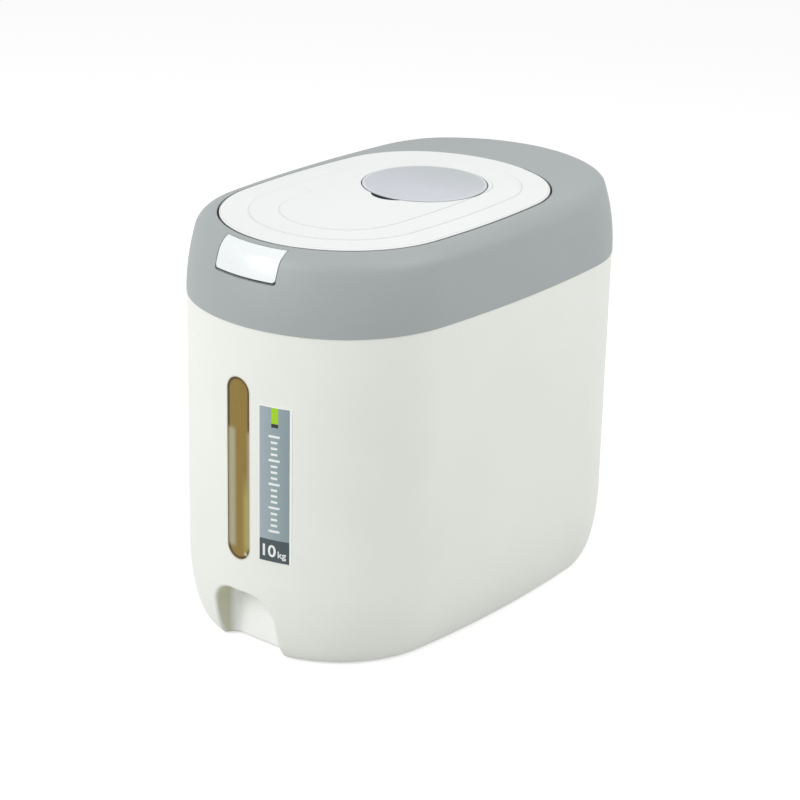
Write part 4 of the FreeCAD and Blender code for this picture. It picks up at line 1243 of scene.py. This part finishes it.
@dataclass
class Hinge(DressedGroup):
    """Hidden gooseneck hinge with two torsion springs on its pin."""

    finishes: dict[str, Finish] = table(
        hinge_arms=Finish.WORKS, hinge_bracket=Finish.GREY_WORKS, hinge_pin=Finish.PIN,
        hinge_cover=Finish.COVER)
    screws: dict[str, str] = table(arm_screws="lid", hinge_screws="bin", hinge_cover_screws="bin")
    wire_radius: float = 0.5 * MM
    coil_radius: float = 3.4 * MM
    coil_pitch: float = 1.25 * MM
    whole_turns: int = 4
    middle_gap: float = 1.6 * MM
    back_leg: float = 13.0 * MM
    push_leg: float = 23.855 * MM
    push_bearing: float = math.radians(-145.883)

    def spring_path(self) -> list[Vector]:
        """Lays the right-hand spring's wire: a leg under the bracket, the coil and a leg behind the arms.

        Returns:
            The points that the wire follows.
        """
        low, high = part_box("hinge_pin")
        pin = (low + high) / 2
        part_turn = (-2 * QUARTER_TURN - self.push_bearing) % FULL_TURN / FULL_TURN
        start = Vector((self.middle_gap / 2 + self.wire_radius, pin.y, pin.z))
        # The helix climbs Z and starts on X: this lays its climb along X and its start straight down.
        onto_pin = Matrix(((0, 0, 1), (0, -1, 0), (-1, 0, 0)))
        coil = [start + onto_pin @ point
                for point in helix(self.coil_radius, self.whole_turns + part_turn, self.coil_pitch)]
        back_end = coil[0] + Vector((0, self.back_leg, 0))
        push = Vector((0, math.cos(self.push_bearing), math.sin(self.push_bearing)))
        return [back_end, *coil, coil[-1] + push * self.push_leg]

    def build(self) -> None:
        """Dresses the hinge, sets its screws and winds its springs."""
        super().build()
        right = self.spring_path()
        left = [Vector((-point.x, point.y, point.z)) for point in right]
        for node, path in (("lid_spring_right", right), ("lid_spring_left", left)):
            WireSpring(node, "bin", self.shop, path, self.wire_radius).build()


@dataclass
class Latch(DressedGroup):
    """Push button that rocks on its pin and draws the sprung hook off the lid's lip."""

    finishes: dict[str, Finish] = table(
        latch_button=Finish.BUTTON, latch_hook=Finish.WORKS, latch_housing=Finish.GREY_WORKS,
        latch_pin=Finish.PIN)
    screws: dict[str, str] = table(latch_screws="bin")
    wire_radius: float = 0.3 * MM
    coil_radius: float = 2.2 * MM
    turns: int = 6
    push_arm: float = 8.4 * MM
    press_angle: float = math.radians(8)

    def build(self) -> None:
        """Dresses the latch, sets its screws and winds the spring that the pressed button shortens."""
        super().build()
        low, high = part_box("latch_spring")
        middle = (low + high) / 2
        pitch = (high.y - low.y - 2 * self.wire_radius) / self.turns
        start = Vector((middle.x, high.y - self.wire_radius, middle.z))
        lay_down = Matrix.Translation(start) @ Matrix.Rotation(QUARTER_TURN, 4, "X")
        path = [lay_down @ point for point in helix(self.coil_radius, self.turns, pitch)]
        spring = WireSpring("latch_spring", "bin", self.shop, path, self.wire_radius).build()
        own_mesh(spring)


# ------------------------------------------------------------------ studio

def bearing(azimuth: float, elevation: float) -> Vector:
    """Points from the object towards a place round it.

    Args:
        azimuth: Degrees round from the front towards the right.
        elevation: Degrees above the horizon.

    Returns:
        The direction.
    """
    turn, rise = math.radians(azimuth), math.radians(elevation)
    return Vector((math.sin(turn) * math.cos(rise), -math.cos(turn) * math.cos(rise), math.sin(rise)))


def seen_as(sheet: NodeSheet, lit: Socket, seen: Socket, end: str) -> None:
    """Shows camera, glossy and transmitted rays something else than the light that a tree gives.

    Args:
        sheet: The material's or world's tree.
        lit: The shader that all other rays meet.
        seen: The shader that those rays meet.
        end: Name of the tree's last node.
    """
    rays = sheet.add("ShaderNodeLightPath").outputs
    seeing = rays["Is Camera Ray"]
    for name in ("Is Glossy Ray", "Is Transmission Ray"):
        seeing = sheet.work_out("MAXIMUM", seeing, rays[name])
    mix = sheet.add("ShaderNodeMixShader", {0: seeing, 1: lit, 2: seen})
    sheet.put(sheet.tree.nodes[end].inputs["Surface"], mix.outputs[0])


@dataclass(frozen=True)
class Lamp:
    """Soft square lamp: its bearing in degrees, its distance and side in metres, and its power."""

    name: str
    azimuth: float
    elevation: float
    distance: float
    side: float
    watts: float

    def hang(self, target: Vector) -> None:
        """Hangs the lamp so that it faces a place.

        Args:
            target: The place.
        """
        data = bpy.data.lights.new(self.name, "AREA")
        data.shape, data.size, data.energy = "SQUARE", self.side, self.watts
        lamp = new_piece(self.name, data)
        away = bearing(self.azimuth, self.elevation)
        lamp.location = target + away * self.distance
        lamp.rotation_mode = "QUATERNION"
        lamp.rotation_quaternion = (-away).to_track_quat("-Z", "Y")


@dataclass
class Studio:
    """Pale floor, soft light and the camera."""

    target: Point = (0.0, 0.0, 0.130)
    azimuth: float = 38.85
    elevation: float = 20.99
    distance: float = 1.59775
    roll: float = -1.42
    lens: float = 114.43
    sensor: float = 36
    shift: Span = (-0.0029, -0.0157)
    sight: Span = (0.05, 50)
    lamps: tuple[Lamp, ...] = (
        Lamp("key", azimuth=-21, elevation=29, distance=2.0, side=1.0, watts=19.6),
        Lamp("side", azimuth=103, elevation=42, distance=1.15, side=0.9, watts=5.8),
        Lamp("top", azimuth=150, elevation=66, distance=1.5, side=1.2, watts=0.6),
    )
    world_strength: float = 0.5
    backdrop_strength: float = 1.0
    floor_size: float = 6.0
    floor_colour: tuple[float, ...] = (0.61, 0.61, 0.61, 1)
    floor_roughness: float = 0.9
    floor_glow: float = 0.6

    def camera(self) -> None:
        """Sets up the camera."""
        turn, tilt = math.radians(self.azimuth), math.radians(self.roll)
        right = Vector((math.cos(turn), math.sin(turn), 0))
        back = bearing(self.azimuth, self.elevation)
        up = back.cross(right)
        side = right * math.cos(tilt) - up * math.sin(tilt)
        head = right * math.sin(tilt) + up * math.cos(tilt)
        data = bpy.data.cameras.new("camera")
        data.lens, data.sensor_width = self.lens, self.sensor
        data.shift_x, data.shift_y = self.shift
        data.clip_start, data.clip_end = self.sight
        camera = new_piece("camera", data)
        place = Matrix((side, head, back)).transposed().to_4x4()
        place.translation = Vector(self.target) + back * self.distance
        camera.matrix_world = place
        bpy.context.scene.camera = camera

    def world(self) -> None:
        """Fills the room with even light and a white background."""
        world = bpy.data.worlds.new("studio")
        bpy.context.scene.world = world
        world.use_nodes = True
        sheet = NodeSheet(world.node_tree)
        light = world.node_tree.nodes["Background"]
        sheet.put(light.inputs["Color"], WHITE)
        sheet.put(light.inputs["Strength"], self.world_strength)
        white = sheet.add("ShaderNodeBackground", {"Color": WHITE, "Strength": self.backdrop_strength})
        seen_as(sheet, light.outputs[0], white.outputs[0], "World Output")

    def floor(self) -> None:
        """Lays the pale floor, which keeps the object's soft shadow."""
        half = self.floor_size / 2
        mesh = bpy.data.meshes.new("floor")
        mesh.from_pydata([(-half, -half, 0), (half, -half, 0), (half, half, 0), (-half, half, 0)], [],
                         [(0, 1, 2, 3)])
        sheet = ShaderSheet("pale_floor")
        mesh.materials.append(sheet.finished({
            "Base Color": self.floor_colour, "Roughness": self.floor_roughness, "Specular IOR Level": 0.0}))
        plain = sheet.tree.nodes["Principled BSDF"].outputs[0]
        glow = sheet.add("ShaderNodeEmission", {"Strength": self.floor_glow})
        glowing = sheet.add("ShaderNodeAddShader", {0: plain, 1: glow.outputs[0]})
        seen_as(sheet, plain, glowing.outputs[0], "Material Output")
        new_piece("floor", mesh)

    def build(self) -> None:
        """Sets up camera, lamps, world and floor."""
        self.camera()
        self.world()
        self.floor()
        for lamp in self.lamps:
            lamp.hang(Vector(self.target))
        bpy.context.scene.view_settings.view_transform = "Standard"
        log.info("studio is lit")


def main() -> None:
    """Loads the frame, dresses each sub-assembly and lights the studio."""
    logging.basicConfig(level=logging.INFO, format="%(name)s: %(message)s")
    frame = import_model()
    shop = PaintShop()
    for group in (Tub, Cover, Lid, Hinge, Latch):
        group(frame, shop).build()
    Studio().build()


if __name__ == "__main__":
    main()
